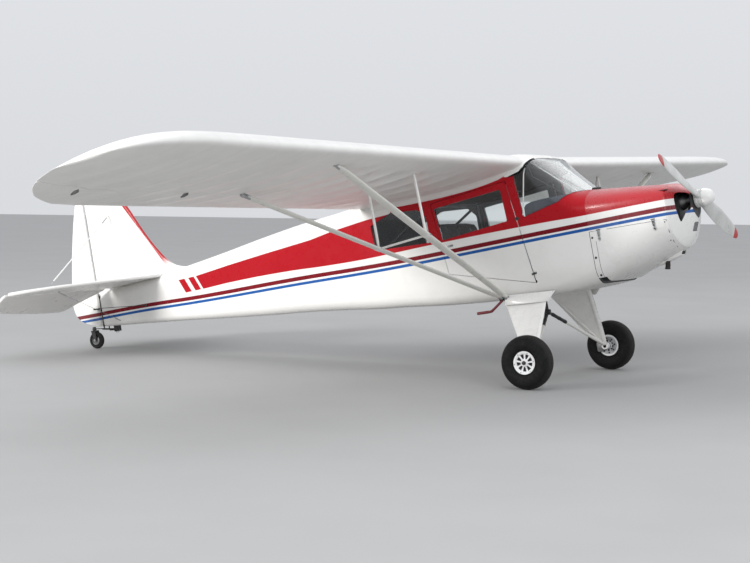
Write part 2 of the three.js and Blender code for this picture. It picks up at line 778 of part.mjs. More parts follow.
const shockEye = CABANE_TIP.clone().setY(10);
const shockTop = vector(CABANE_TIP.x + 9, 52, CABANE_TIP.z - 18);
const shockFoot = vector(WHEEL.x, 765, WHEEL.z + 12);
const shockMiddle = shockTop.clone().lerp(shockFoot, 0.4);
const shock = joined(
  rod(shockEye, shockTop.clone().lerp(shockMiddle, 0.1), 13, 12),
  rod(shockTop, shockMiddle, 19, 14),
  rod(shockMiddle, shockFoot, 11, 12),
);
addPair("shock_strut", cut(shock, cabaneForm(SEAT_GAP), aroundLeg), blackPaint);

// Main wheels

const TYRE_RING = 150;
const TYRE_DEPTH = 72;
const HUB_RADIUS = 77;
const tyreProfile = circle(12).map(([c, s]) => [
  TYRE_RING + c * TYRE_DEPTH,
  (Math.sign(s) * Math.abs(s) ** 0.8 * WHEEL.width) / 2,
]);
tyreProfile.push(tyreProfile[0]);
const tyre = turned(tyreProfile, 24);
tyre.translate(WHEEL.x, WHEEL.y, WHEEL.z);
addPair("tyre", solidFrom(tyre), tyreRubber);

const BORE = AXLE_RADIUS + 0.5;
const hubProfile = [
  [BORE, -64],
  [40, -64],
  [44, -42],
  [66, -42],
  [72, -65],
  [94, -65],
  [94, -60],
  [HUB_RADIUS, -42],
  [HUB_RADIUS, 42],
  [94, 60],
  [94, 65],
  [72, 65],
  [66, 36],
  [44, 44],
  [38, 74],
  [0, 80],
  [0, 66],
  [BORE, 66],
  [BORE, -64],
];
const hub = turned(hubProfile, 16);
hub.translate(WHEEL.x, WHEEL.y, WHEEL.z);
addPair("hub", solidFrom(hub), bareMetal);

// Boarding step under each door

const STEP = [vector(-375, 478, -1112), vector(-475, 545, -1200), vector(-605, 560, -1196)];
const step = joined(
  rod(STEP[0], STEP[1], 11),
  rod(STEP[1], STEP[2], 11),
  rod(STEP[1].clone().addScaledVector(vector(1, 0, 0), 6), STEP[1], 13),
);
addPair("step", cut(step, bodyBeside, aroundStruts, aroundLeg), stepPaint);

// Tail surfaces, as side and plan outlines

const TAIL_THICKNESS = 44;
const FIN = [
  [RUDDER_HINGE_X + 7, -330],
  [-3830, -310],
  [-3830, -246],
  [-3925, -226],
  [-4040, -190],
  [-4123, -126],
  [-4203, -32],
  [-4300, 106],
  [-4393, 264],
  [-4522, 499],
  [-4640, 655],
  [-4745, 745],
  [-4860, 785],
  [RUDDER_HINGE_X + 7, 792],
];
const RUDDER = [
  [RUDDER_HINGE_X - 15, -637],
  [RUDDER_HINGE_X - 15, 790],
  [-5105, 745],
  [-5150, 640],
  [-5190, 526],
  [-5287, 183],
  [-5357, -146],
  [-5392, -365],
  [-5378, -460],
  [-5334, -532],
  [-5240, -590],
  [-5125, -628],
];
const STABILISER = [
  [ELEVATOR.hingeX + 18, 24],
  [-4130, 24],
  [-4140, 120],
  [-4290, 620],
  [-4430, 1000],
  [-4560, 1260],
  [-4700, 1430],
  [-4800, 1500],
  [ELEVATOR.hingeX + 18, 1526],
];
const ELEVATOR_PLAN = [
  [ELEVATOR.hingeX - 16, 76],
  [ELEVATOR.hingeX - 16, 1528],
  [-5020, 1500],
  [-5140, 1430],
  [-5220, 1330],
  [-5270, 1160],
  [-5290, 1000],
  [-5335, 560],
  [-5345, 320],
];

const standing = (outline, thickness, edge) => {
  const body = rounded(outline, thickness, edge);
  body.rotateX(Math.PI / 2);
  return solidFrom(body);
};
const lying = (outline, thickness, edge) => {
  const body = rounded(outline, thickness, edge);
  body.translate(0, 0, ELEVATOR.z);
  return body;
};

// Hinges of the tail surfaces: a knuckle on the fixed part between two on the moving part.
const TAIL_HINGE = { radius: 6, half: 13, outer: 34, lug: 4 };
const RUDDER_HINGES = [-560, 60, 560];
const ELEVATOR_HINGES = [460, 1220];

function rudderKnuckle(fromZ, toZ, lugX) {
  const { radius, lug } = TAIL_HINGE;
  const [nearX, farX] = [RUDDER_HINGE_X, RUDDER_HINGE_X + lugX].sort((a, b) => a - b);
  return joined(
    rod(vector(RUDDER_HINGE_X, 0, fromZ), vector(RUDDER_HINGE_X, 0, toZ), radius),
    box(nearX, farX, -lug, lug, fromZ, toZ),
  );
}
function elevatorKnuckle(fromY, toY, lugX) {
  const { radius, lug } = TAIL_HINGE;
  const [nearX, farX] = [ELEVATOR.hingeX, ELEVATOR.hingeX + lugX].sort((a, b) => a - b);
  return joined(
    rod(vector(ELEVATOR.hingeX, fromY, ELEVATOR.z), vector(ELEVATOR.hingeX, toY, ELEVATOR.z), radius),
    box(nearX, farX, fromY, toY, ELEVATOR.z - lug, ELEVATOR.z + lug),
  );
}
const fixedKnuckles = (places, make, reach) =>
  places.map((place) => make(place - TAIL_HINGE.half, place + TAIL_HINGE.half, reach));
const movingKnuckles = (places, make, reach) => {
  const { half: inner, outer } = TAIL_HINGE;
  return places.flatMap((place) => [
    make(place - outer, place - inner - SEAT_GAP, reach),
    make(place + inner + SEAT_GAP, place + outer, reach),
  ]);
};

const coneBelow = moved(TAIL_SECTIONS, 0, SEAT_GAP);
const tubeRoom = box(ELEVATOR.hingeX - 24, ELEVATOR.hingeX + 24, -40, 40, -330, ELEVATOR.z + 24);
const [sternHinge, ...finHinges] = RUDDER_HINGES;
const fin = cut(standing(FIN, TAIL_THICKNESS, 16), coneBelow, tubeRoom);
add("fin", joined(fin, ...fixedKnuckles(finHinges, rudderKnuckle, 20)), whitePaint);
const rudderKnuckles = movingKnuckles(RUDDER_HINGES, rudderKnuckle, -26);
add("rudder", joined(standing(RUDDER, 40, 14), ...rudderKnuckles), whitePaint);

const tailCone = bodyForm(TAIL_SECTIONS, 0, STERN_X, CABIN_REAR_X - SEAT_GAP);
add("tail_cone", joined(tailCone, ...fixedKnuckles([sternHinge], rudderKnuckle, 24)), whitePaint);
const BRACE = { x: -4760, y: 930, radius: 4, bolt: 7 };
const boltAt = (rise) => vector(BRACE.x, BRACE.y, ELEVATOR.z + rise);
const stabiliser = cut(
  solidFrom(lying(STABILISER, TAIL_THICKNESS, 16)),
  tailSide,
  coneBelow,
  rod(boltAt(-60), boltAt(60), BRACE.bolt + SEAT_GAP, 10),
);
const stabiliserKnuckles = fixedKnuckles(ELEVATOR_HINGES, elevatorKnuckle, 30);
addPair("stabiliser", joined(stabiliser, ...stabiliserKnuckles), whitePaint);

// Both elevator halves and the tube between them, drooped as they hang at rest.
const elevatorHalf = joined(
  solidFrom(lying(ELEVATOR_PLAN, 38, 14)),
  ...movingKnuckles(ELEVATOR_HINGES, elevatorKnuckle, -28),
);
const tubeEnd = (y) => vector(ELEVATOR.hingeX, y, ELEVATOR.z);
const hingeLug = (y) => box(ELEVATOR.hingeX - 22, ELEVATOR.hingeX, y - 12, y + 12, ELEVATOR.z - 9, ELEVATOR.z + 9);
const elevator = joined(
  elevatorHalf,
  mirrorOf(elevatorHalf),
  rod(tubeEnd(-110), tubeEnd(110), ELEVATOR.tube, 12),
  hingeLug(96),
  hingeLug(-96),
);
const drooped = geometryFrom(elevator);
drooped.translate(-ELEVATOR.hingeX, 0, -ELEVATOR.z);
drooped.rotateY(-ELEVATOR.droop);
drooped.translate(ELEVATOR.hingeX, 0, ELEVATOR.z);
add("elevator", drooped, whitePaint);

// Brace wires from the fin to each stabiliser half, and on down to the fuselage

const braceTop = vector(-4720, 18, 170);
const braceFoot = vector(-4760, 40, -640);
const BOLT_REACH = 30;
addPair(
  "brace_wires",
  cut(
    joined(
      rod(braceTop, boltAt(BOLT_REACH - 4), BRACE.radius, 8),
      rod(boltAt(4 - BOLT_REACH), braceFoot, BRACE.radius, 8),
      rod(boltAt(-BOLT_REACH), boltAt(BOLT_REACH), BRACE.bolt, 10),
    ),
    box(-5000, -4500, -60, 22.5, -100, 400),
    moved(TAIL_SECTIONS, SEAT_GAP, 0),
  ),
  bareMetal,
);

// Tail wheel on its leaf spring

const tailWheelHeight = WHEEL.x * Math.sin(PITCH) + WHEEL.z * Math.cos(PITCH) - WHEEL.radius;
const TAIL_WHEEL_Z =
  (tailWheelHeight + TAIL_WHEEL.radius - TAIL_WHEEL.x * Math.sin(PITCH)) / Math.cos(PITCH);
const tailAxle = vector(TAIL_WHEEL.x, 0, TAIL_WHEEL_Z);
const SPRING = [
  // x, z of the leaf's middle line
  [-4640, -700],
  [-4870, -688],
  [-5060, -662],
  [-5190, -648],
];
const springSide = [
  ...SPRING.map(([x, z]) => [x, z + 7]),
  ...SPRING.slice().reverse().map(([x, z]) => [x, z - 7]),
];
const KINGPIN = { x: -5172, top: -655, radius: 8 };
const spring = joined(
  prism(springSide, -19, 19),
  box(-4700, -4652, -16, 16, -704, -660),
  box(-4905, -4857, -16, 16, -692, -640),
);
const kingpin = (radius) =>
  rod(vector(KINGPIN.x, 0, KINGPIN.top - 14), vector(KINGPIN.x, 0, KINGPIN.top + 22), radius, 12);
add(
  "tail_spring",
  cut(spring, moved(TAIL_SECTIONS, 0, -SEAT_GAP), kingpin(KINGPIN.radius + SEAT_GAP)),
  blackPaint,
);

const forkFoot = 34;
const forkSide = [
  [KINGPIN.x + 26, KINGPIN.top - 16],
  [KINGPIN.x - 22, KINGPIN.top - 16],
  [TAIL_WHEEL.x - 14, TAIL_WHEEL_Z - 8],
  [TAIL_WHEEL.x + 14, TAIL_WHEEL_Z - 8],
];
const fork = joined(
  prism(forkSide, forkFoot - 6, forkFoot),
  prism(forkSide, -forkFoot, -forkFoot + 6),
  box(KINGPIN.x - 22, KINGPIN.x + 26, -forkFoot, forkFoot, KINGPIN.top - 22, KINGPIN.top - 12),
  rod(tailAxle.clone().setY(-forkFoot), tailAxle.clone().setY(forkFoot), 7, 12),
  kingpin(KINGPIN.radius),
);
add("tail_fork", fork, blackPaint);

const tailTyre = turned(
  [
    [8, -22],
    [56, -20],
    [70, -24],
    [80, -16],
    [TAIL_WHEEL.radius, 0],
    [80, 16],
    [70, 24],
    [56, 20],
    [8, 22],
    [8, -22],
  ],
  28,
);
tailTyre.translate(TAIL_WHEEL.x, 0, TAIL_WHEEL_Z);
add("tail_wheel", solidFrom(tailTyre), tyreRubber);

// Cabin furniture

const PANEL = { x: 150, top: -430, low: -610, thickness: 12 };
const cabinRoom = bodyForm(
  CABIN_SECTIONS,
  WALL + SEAT_GAP,
  CABIN_REAR_X + WALL + SEAT_GAP,
  FIREWALL_X - WALL - SEAT_GAP,
);
const doorRoom = joined(box(-1000, 20, 430, 600, -1200, 0), box(-1000, 20, -600, -430, -1200, 0));
const wheelRing = (y) => {
  const points = circle(16).map(([c, s]) => vector(-20, y + c * 115, -560 + s * 115));
  const bars = points.map((point, i) => rod(point, points[(i + 1) % points.length], 10, 8));
  return joined(
    rod(vector(PANEL.x, y, -560), vector(-32, y, -560), 13, 12),
    rod(vector(-20, y - 115, -560), vector(-20, y + 115, -560), 9, 8),
    ...bars.slice(0, 2),
    ...bars.slice(6, 10),
    ...bars.slice(14),
  );
};
const panel = joined(
  box(PANEL.x, PANEL.x + PANEL.thickness, -520, 520, PANEL.low, PANEL.top),
  wheelRing(215),
  wheelRing(-215),
);
add("instrument_panel", panel.intersect(cabinRoom), blackPaint);

const SEAT = { front: -330, rear: -850, half: 425, top: -745, thick: 120 };
const cushion = new THREE.ExtrudeGeometry(
  new THREE.Shape([
    new THREE.Vector2(SEAT.rear + 20, SEAT.top - SEAT.thick),
    new THREE.Vector2(SEAT.front - 15, SEAT.top - SEAT.thick),
    new THREE.Vector2(SEAT.front, SEAT.top - 40),
    new THREE.Vector2(SEAT.front - 40, SEAT.top),
    new THREE.Vector2(SEAT.rear + 30, SEAT.top - 30),
  ]),
  { depth: 2 * SEAT.half, bevelEnabled: false },
);
cushion.rotateX(Math.PI / 2);
cushion.translate(0, SEAT.half, 0);
add("seat_cushion", solidFrom(cushion), cloth);

const BACKREST = [
  [SEAT.rear + 25, SEAT.top - 70],
  [SEAT.rear - 92, -330],
  [SEAT.rear - 182, -330],
  [SEAT.rear - 84, SEAT.top - 90],
];
add("seat_back", prism(BACKREST, -SEAT.half, SEAT.half), cloth);

const SEAT_BASE = [
  [SEAT.front - 30, SEAT.top - SEAT.thick - SEAT_GAP],
  [SEAT.rear - 90, SEAT.top - SEAT.thick - SEAT_GAP],
  [SEAT.rear - 90, -1100],
  [SEAT.front - 60, -1160],
];
add("seat_base", cut(prism(SEAT_BASE, -420, 420).intersect(cabinRoom), doorRoom), darkMetal);

// The whole aircraft stands on the floor, with its origin under the middle of its length

const STAND_HEIGHT = WHEEL.radius - WHEEL.x * Math.sin(PITCH) - WHEEL.z * Math.cos(PITCH);
const ORIGIN_SHIFT = 1853.3;
aircraft.position.set(ORIGIN_SHIFT, 0, STAND_HEIGHT);

const part = new THREE.Group();
part.add(aircraft);

export default part;
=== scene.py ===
# The look of a light aircraft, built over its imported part.
# Pieces are modelled in the level frame, with x forward from the wing's leading edge, y to port
# and z up, in metres. LEVEL pitches that frame nose up and sets it where the part stands. The
# pieces hang on it while they're made; near the end their meshes are carried into the row frame.

import json
import math

import bmesh
import bpy
from mathutils import Matrix, Vector
from mathutils.bvhtree import BVHTree

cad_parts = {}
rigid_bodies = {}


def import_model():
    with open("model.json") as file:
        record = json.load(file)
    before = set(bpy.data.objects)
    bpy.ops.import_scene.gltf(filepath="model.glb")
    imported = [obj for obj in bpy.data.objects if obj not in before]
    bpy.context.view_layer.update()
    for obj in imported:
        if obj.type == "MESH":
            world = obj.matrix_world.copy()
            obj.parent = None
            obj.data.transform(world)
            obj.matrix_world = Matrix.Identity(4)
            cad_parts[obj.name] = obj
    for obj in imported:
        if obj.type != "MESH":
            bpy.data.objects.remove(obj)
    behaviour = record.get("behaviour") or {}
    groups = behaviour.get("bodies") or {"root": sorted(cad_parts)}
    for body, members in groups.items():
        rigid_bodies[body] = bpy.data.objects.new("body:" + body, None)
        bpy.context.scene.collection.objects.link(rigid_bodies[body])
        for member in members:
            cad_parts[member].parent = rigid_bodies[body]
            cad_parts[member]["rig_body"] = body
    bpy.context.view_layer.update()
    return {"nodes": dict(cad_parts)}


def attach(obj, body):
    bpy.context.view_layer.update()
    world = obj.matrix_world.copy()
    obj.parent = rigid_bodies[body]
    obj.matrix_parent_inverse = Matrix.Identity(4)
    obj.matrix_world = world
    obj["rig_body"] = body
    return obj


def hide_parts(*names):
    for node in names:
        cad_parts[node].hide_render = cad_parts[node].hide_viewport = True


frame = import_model()

PITCH = math.radians(11.5)
LEVEL = Matrix.Translation((1.8533, 0, 1.86339)) @ Matrix.Rotation(-PITCH, 4, "Y")
MM = 0.001
FORWARD, AFT, PORT, UP = (1, 0, 0), (-1, 0, 0), (0, 1, 0), (0, 0, 1)
WELD = 1e-6
SHAFT_Z = -0.578
ACROSS = (-600, 600)
scene = bpy.context.scene


# Numbers read smoothly between the rows of a table

def slopes(xs, ys):
    """One slope for each row, so that a curve through the rows doesn't overshoot."""
    steps = [(ys[i + 1] - ys[i]) / (xs[i + 1] - xs[i]) for i in range(len(xs) - 1)]
    inner = []
    for before, after in zip(steps, steps[1:]):
        inner.append(0 if before * after <= 0 else 2 * before * after / (before + after))
    return [steps[0]] + inner + [steps[-1]]


def smooth_table(rows):
    """A function of the rows' first column that gives the other columns."""
    rows = sorted(rows)
    xs = [row[0] for row in rows]
    columns = [[row[i] for row in rows] for i in range(1, len(rows[0]))]
    rates = [slopes(xs, column) for column in columns]

    def read(x):
        x = min(max(x, xs[0]), xs[-1])
        i = max(k for k in range(len(xs) - 1) if xs[k] <= x)
        width = xs[i + 1] - xs[i]
        t = (x - xs[i]) / width
        out = []
        for column, rate in zip(columns, rates):
            start, end = column[i], column[i + 1]
            leave, arrive = rate[i] * width, rate[i + 1] * width
            out.append(hermite(t, start, end, leave, arrive))
        return out

    return read


def steps_between(start, end, step):
    """Evenly spaced numbers from start to end, both included."""
    count = max(1, math.ceil(abs(end - start) / step))
    return [start + (end - start) * i / count for i in range(count + 1)]


def hermite(t, start, end, leave, arrive):
    """A cubic from start to end, with its slope at each of them."""
    return (
        start * (2 * t**3 - 3 * t**2 + 1)
        + leave * (t**3 - 2 * t**2 + t)
        + end * (3 * t**2 - 2 * t**3)
        + arrive * (t**3 - t**2)
    )


def clamp(value, low=0.0, high=1.0):
    return min(max(value, low), high)


def smooth(value):
    value = clamp(value)
    return value * value * (3 - 2 * value)


# Outlines and profiles

def oblong(low, high):
    """The corners of a rectangle between two of them."""
    return [low, (high[0], low[1]), high, (low[0], high[1])]


def plug(radius, low, high):
    """The closed profile of a round plug, for turning."""
    return [(0, low), (radius, low), (radius, high), (0, high)]


def around(count, start=0.0):
    """So many angles in even steps round a circle."""
    return [start + 2 * math.pi * k / count for k in range(count)]


# Meshes

class Shape:
    """Points and faces gathered from several forms. A face's kind is its material's number."""

    def __init__(self):
        self.points = []
        self.faces = []
        self.kinds = []

    def add(self, points, faces, kind=0):
        start = len(self.points)
        self.points += [Vector(p) for p in points]
        self.faces += [[start + i for i in face] for face in faces]
        self.kinds += [kind] * len(faces)
        return self

    def loft(self, rings, kind=0, closed=True, caps=True):
        """Faces through rings of as many points each."""
        count = len(rings[0])
        points = [p for ring in rings for p in ring]
        faces = []
        for r in range(len(rings) - 1):
            for i in range(count if closed else count - 1):
                j = (i + 1) % count
                a, b = r * count + i, r * count + j
                faces.append([a, b, b + count, a + count])
        if caps and closed:
            last = (len(rings) - 1) * count
            faces.append(list(range(count))[::-1])
            faces.append([last + i for i in range(count)])
        return self.add(points, faces, kind)

    def tube(self, path, radius, sides=12, kind=0, deep=None, caps=True):
        """A tube along a path. Radius is a number, one for each point, or pairs of half chord
        and half thickness, with the chord along deep."""
        path = [Vector(p) for p in path]
        sizes = radius if isinstance(radius, list) else [radius] * len(path)
        rings = []
        side = None
        for i, point in enumerate(path):
            before = path[max(i - 1, 0)]
            after = path[min(i + 1, len(path) - 1)]
            along = (after - before).normalized()
            if deep is not None:
                side = Vector(deep) - along * along.dot(Vector(deep))
            elif side is None:
                side = along.orthogonal()
            else:
                side = side - along * along.dot(side)
            side = side.normalized()
            other = along.cross(side)
            wide, thick = sizes[i] if isinstance(sizes[i], (tuple, list)) else (sizes[i],) * 2
            ring = []
            for a in around(sides):
                ring.append(point + side * wide * math.cos(a) + other * thick * math.sin(a))
            rings.append(ring)
        return self.loft(rings, kind, caps=caps)

    def turned(self, centre, axis, profile, sides=32, kind=0):
        """A form turned about an axis, from pairs of radius and distance along it. Where the
        profile ends away from the axis it's left open."""
        axis = Vector(axis).normalized()
        side = axis.orthogonal()
        side = (side - axis * axis.dot(side)).normalized()
        other = axis.cross(side)
        rings = []
        for radius, along in profile:
            middle = Vector(centre) + axis * along
            rings.append([
                middle + (side * math.cos(a) + other * math.sin(a)) * radius
                for a in around(sides)
            ])
        return self.loft(rings, kind, caps=False)

    def prism(self, outline, start, end, kind=0, plane="xz"):
        """An outline carried along the axis it doesn't name."""
        def at(a, b, c):
            return {"xz": (a, c, b), "xy": (a, b, c), "yz": (c, a, b)}[plane]
        rings = [[at(a, b, c) for a, b in outline] for c in (start, end)]
        return self.loft(rings, kind)

    def block(self, low, high, kind=0):
        outline = oblong((low[0], low[2]), (high[0], high[2]))
        return self.prism(outline, low[1], high[1], kind)

    def object(self, name, *materials, angle=40):
        mesh = bpy.data.meshes.new(name)
        mesh.from_pydata([tuple(p) for p in self.points], [], self.faces)
        for polygon, kind in zip(mesh.polygons, self.kinds):
            polygon.material_index = kind
        form = bmesh.new()
        form.from_mesh(mesh)
        bmesh.ops.remove_doubles(form, verts=form.verts, dist=WELD)
        bmesh.ops.recalc_face_normals(form, faces=form.faces)
        form.to_mesh(mesh)
        form.free()
        made = bpy.data.objects.new(name, mesh)
        scene.collection.objects.link(made)
        made.matrix_world = LEVEL
        for material in materials:
            mesh.materials.append(material)
        soften(made, angle)
        return made


def soften(made, angle=40):
    made.data.shade_smooth()
    made.data.set_sharp_from_angle(angle=math.radians(angle))


def dressed(made, angle, *materials):
    """Gives a piece its materials anew after cuts."""
    made.data.materials.clear()
    for material in materials:
        made.data.materials.append(material)
    soften(made, angle)
    return made


def settle(made, angle=None):
    """Applies the modifiers of a piece to its mesh."""
    bpy.context.view_layer.update()
    shown = made.evaluated_get(bpy.context.evaluated_depsgraph_get())
    mesh = bpy.data.meshes.new_from_object(shown)
    made.modifiers.clear()
    made.data = mesh
    if angle:
        soften(made, angle)
    return made


def combine(made, other, operation, keep=False):
    """Cuts a piece with another, or keeps what they share. Both are closed."""
    step = made.modifiers.new("step", "BOOLEAN")
    step.operation = operation
    step.object = other
    step.solver = "MANIFOLD"
    settle(made)
    if not keep:
        bpy.data.objects.remove(other)
    return made


def copy_of(made, name):
    other = made.copy()
    other.data = made.data.copy()
    other.name = name
    scene.collection.objects.link(other)
    return other


def bevel(made, width, segments=2, angle=35):
    step = made.modifiers.new("edges", "BEVEL")
    step.width = width
    step.segments = segments
    step.limit_method = "ANGLE"
    step.angle_limit = math.radians(angle)
    step.harden_normals = False
    return settle(made, 40)


def mirrored(made, name):
    """The same piece for the other side."""
    other = copy_of(made, name)
    form = bmesh.new()
    form.from_mesh(other.data)
    bmesh.ops.scale(form, vec=(1, -1, 1), verts=form.verts)
    bmesh.ops.reverse_faces(form, faces=form.faces)
    form.to_mesh(other.data)
    form.free()
    return other


def place(made, body, slot, *nodes, padded=None):
    """Says what a piece rides on and hides the solids it stands for. The finish it is given is not used.
    """
    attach(made, body)
    if nodes:
        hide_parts(*nodes)
    return made


def place_pair(made, body, slot, *nodes, padded=None):
    """Places a port piece, named with _left, and its mirror image. Bodies and nodes are given
    without their side where each side has its own."""
    other = mirrored(made, made.name.replace("_left", "_right"))
    for piece, side in ((made, "left"), (other, "right")):
        ridden = body if body == "airframe" else f"{body}_{side}"
        place(piece, ridden, slot, *[f"{node}_{side}" for node in nodes], padded=padded)
    return made, other


def inset(outline, distance):
    """The outline moved inwards, or outwards where the distance is negative."""
    count = len(outline)
    area = sum(
        outline[i][0] * outline[(i + 1) % count][1] - outline[(i + 1) % count][0] * outline[i][1]
        for i in range(count)
    )
    inwards = math.copysign(distance, area)
    edges = []
    for i in range(count):
        (x, z), (far_x, far_z) = outline[i], outline[(i + 1) % count]
        dx, dz = far_x - x, far_z - z
        length = math.hypot(dx, dz)
        edges.append((x - dz / length * inwards, z + dx / length * inwards, dx, dz))
    corners = []
    for i in range(count):
        x, z, dx, dz = edges[i]
        last_x, last_z, last_dx, last_dz = edges[i - 1]
        cross = last_dx * dz - last_dz * dx
        step = ((x - last_x) * dz - (z - last_z) * dx) / cross
        corners.append((last_x + last_dx * step, last_z + last_dz * step))
    return corners


def rounded(outline, radius, steps=5):
    """The outline with its corners rounded."""
    out = []
    count = len(outline)
    for i in range(count):
        corner = Vector(outline[i])
        before = Vector(outline[i - 1]) - corner
        after = Vector(outline[(i + 1) % count]) - corner
        reach = min(radius, before.length * 0.45, after.length * 0.45)
        start = corner + before.normalized() * reach
        end = corner + after.normalized() * reach
        for k in range(steps + 1):
            t = k / steps
            point = start * (1 - t) ** 2 + corner * 2 * t * (1 - t) + end * t**2
            out.append((point.x, point.y))
    return out


# Materials

class Finish:
    """A material whose colour, roughness and bump come from nodes."""

    def __init__(self, name, roughness=0.5, metallic=0.0, coat=0.0, **values):
        self.material = bpy.data.materials.new(name)
        self.material.use_nodes = True
        self.tree = self.material.node_tree
        self.shader = self.tree.nodes["Principled BSDF"]
        self.shader.inputs["Roughness"].default_value = roughness
        self.shader.inputs["Metallic"].default_value = metallic
        self.shader.inputs["Coat Weight"].default_value = coat
        for socket, value in values.items():
            self.shader.inputs[socket.replace("_", " ")].default_value = value
        # The meshes end up in the row frame, and patterns are laid out in the level frame
        spot = self.node("ShaderNodeTexCoord").outputs["Object"]
        back = self.node("ShaderNodeMapping", {"Vector": spot, "Location": LEVEL.inverted().translation})
        back.inputs["Rotation"].default_value = (0, PITCH, 0)
        self.place = back.outputs[0]
        parts = self.node("ShaderNodeSeparateXYZ", {0: self.place}).outputs
        self.x, self.y, self.z = parts[0], parts[1], parts[2]

    def give(self, socket, value):
        if isinstance(value, bpy.types.NodeSocket):
            self.tree.links.new(value, socket)
        elif value is not None:
            socket.default_value = value

    def node(self, kind, inputs=None, **settings):
        node = self.tree.nodes.new(kind)
        for key, value in settings.items():
            setattr(node, key, value)
        for key, value in (inputs or {}).items():
            self.give(node.inputs[key], value)
        return node

    def math(self, operation, a, b=0.0, c=0.0):
        inputs = {0: a, 1: b}
        if operation == "MULTIPLY_ADD":
            inputs[2] = c
        return self.node("ShaderNodeMath", inputs, operation=operation).outputs[0]

    def noise(self, scale, detail=3.0, roughness=0.5, stretch=None):
        place = self.place
        if stretch:
            mapping = self.node("ShaderNodeMapping", {"Vector": place, "Scale": stretch})
            place = mapping.outputs[0]
        inputs = {"Vector": place, "Scale": scale, "Detail": detail, "Roughness": roughness}
        return self.node("ShaderNodeTexNoise", inputs).outputs["Fac"]

    def span(self, value, low, high, to_low=0.0, to_high=1.0):
        """The value's place between low and high, made into one between the other two."""
        inputs = {"Value": value, 1: low, 2: high, 3: to_low, 4: to_high}
        node = self.node("ShaderNodeMapRange", inputs, interpolation_type="SMOOTHSTEP")
        return node.outputs[0]

    def mix(self, factor, a, b):
        node = self.node("ShaderNodeMix", data_type="RGBA")
        self.give(node.inputs["Factor"], factor)
        for socket, value in (("A", a), ("B", b)):
            target = [s for s in node.inputs if s.name == socket and s.type == "RGBA"][0]
            self.give(target, tuple(value) + (1,) if isinstance(value, tuple) else value)
        return [s for s in node.outputs if s.type == "RGBA"][0]

    def band(self, value, low, high, edge=0.0012):
        """One between low and high, with soft edges, and nothing outside."""
        above = self.span(self.math("SUBTRACT", value, low), -edge, edge)
        below = self.span(self.math("SUBTRACT", value, high), -edge, edge, 1.0, 0.0)
        return self.math("MULTIPLY", above, below)

    def colour(self, value):
        self.give(self.shader.inputs["Base Color"], value)
        return self

    def rough(self, value):
        self.give(self.shader.inputs["Roughness"], value)
        return self

    def bump(self, height, distance=0.001, strength=0.5):
        inputs = {"Height": height, "Distance": distance, "Strength": strength}
        last = self.shader.inputs["Normal"].links
        if last:
            inputs["Normal"] = last[0].from_socket
        self.give(self.shader.inputs["Normal"], self.node("ShaderNodeBump", inputs).outputs[0])
        return self

    def repeat(self, value, period, offset):
        """Where a value stands in its period, from 0 to 1."""
        part = self.math("DIVIDE", self.math("SUBTRACT", value, offset), period)
        return self.math("FRACT", part)


WHITE = (0.80, 0.79, 0.765)
OLD_WHITE = (0.66, 0.655, 0.625)
RED = (0.40, 0.0075, 0.014)
DEEP_RED = (0.17, 0.006, 0.012)
BLUE = (0.014, 0.095, 0.34)
THREADS = 900.0
PAINT_EDGE = 0.0015


def weathered(finish, base, aged, strength=0.35):
    """The base colour with faint cloudy ageing and fine dirt."""
    cloud = finish.span(finish.noise(2.2, 5, 0.6), 0.42, 0.8, 0.0, strength)
    dirt = finish.span(finish.noise(38, 4, 0.7), 0.6, 0.82, 0.0, strength * 0.6)
    return finish.mix(dirt, finish.mix(cloud, base, aged), aged)


def weave(finish):
    """The fine thread of doped cloth as bump."""
    warp = finish.math("SINE", finish.math("MULTIPLY", finish.x, THREADS * math.pi))
    weft_place = finish.math("ADD", finish.y, finish.z)
    weft = finish.math("SINE", finish.math("MULTIPLY", weft_place, THREADS * math.pi))
    finish.bump(finish.math("MULTIPLY", warp, weft), 0.0002, 0.07)
    finish.bump(finish.noise(9, 3, 0.5), 0.003, 0.08)
    return finish


# Side lines of the paint, as x and z: each is read along the whole fuselage.
LINE_START, LINE_LENGTH = -5.45, 6.8
LINES = {
    "field_low": [
        (-5.45, -0.493), (-3.59, -0.493), (-3.26, -0.488), (-2.56, -0.502), (-2.03, -0.532),
        (-1.54, -0.546), (-0.8, -0.541), (0.1, -0.549), (0.5, -0.558), (1.26, -0.558), (1.35, -0.558),
    ],
    "field_top": [
        (-5.45, -0.359), (-3.66, -0.359), (-3.23, -0.327), (-2.80, -0.301), (-2.22, -0.271),
        (-1.96, -0.239), (-1.54, -0.210), (-1.30, -0.204), (-1.27, -0.1), (-1.2, -0.0),
        (1.35, -0.0),
    ],
    "dark_stripe": [
        (-5.45, -0.511), (-4.43, -0.529), (-3.63, -0.562), (-2.58, -0.586), (-1.06, -0.630),
        (1.35, -0.630),
    ],
    "blue_stripe": [
        (-5.45, -0.557), (-4.44, -0.575), (-3.64, -0.607), (-2.59, -0.635), (-1.07, -0.675),
        (1.35, -0.675),
    ],
}


def side_line(finish, name):
    """The height of one of the paint's side lines at each x, read from its curve."""
    along = finish.math("DIVIDE", finish.math("SUBTRACT", finish.x, LINE_START), LINE_LENGTH)
    node = finish.node("ShaderNodeFloatCurve", {"Value": along})
    curve = node.mapping.curves[0]
    spots = [((x - LINE_START) / LINE_LENGTH, z + 1) for x, z in LINES[name]]
    while len(curve.points) < len(spots):
        curve.points.new(0.5, 0.5)
    for point, spot in zip(curve.points, spots):
        point.location = spot
        point.handle_type = "VECTOR" if name == "field_top" else "AUTO_CLAMPED"
    node.mapping.update()
    return finish.math("SUBTRACT", node.outputs[0], 1.0)


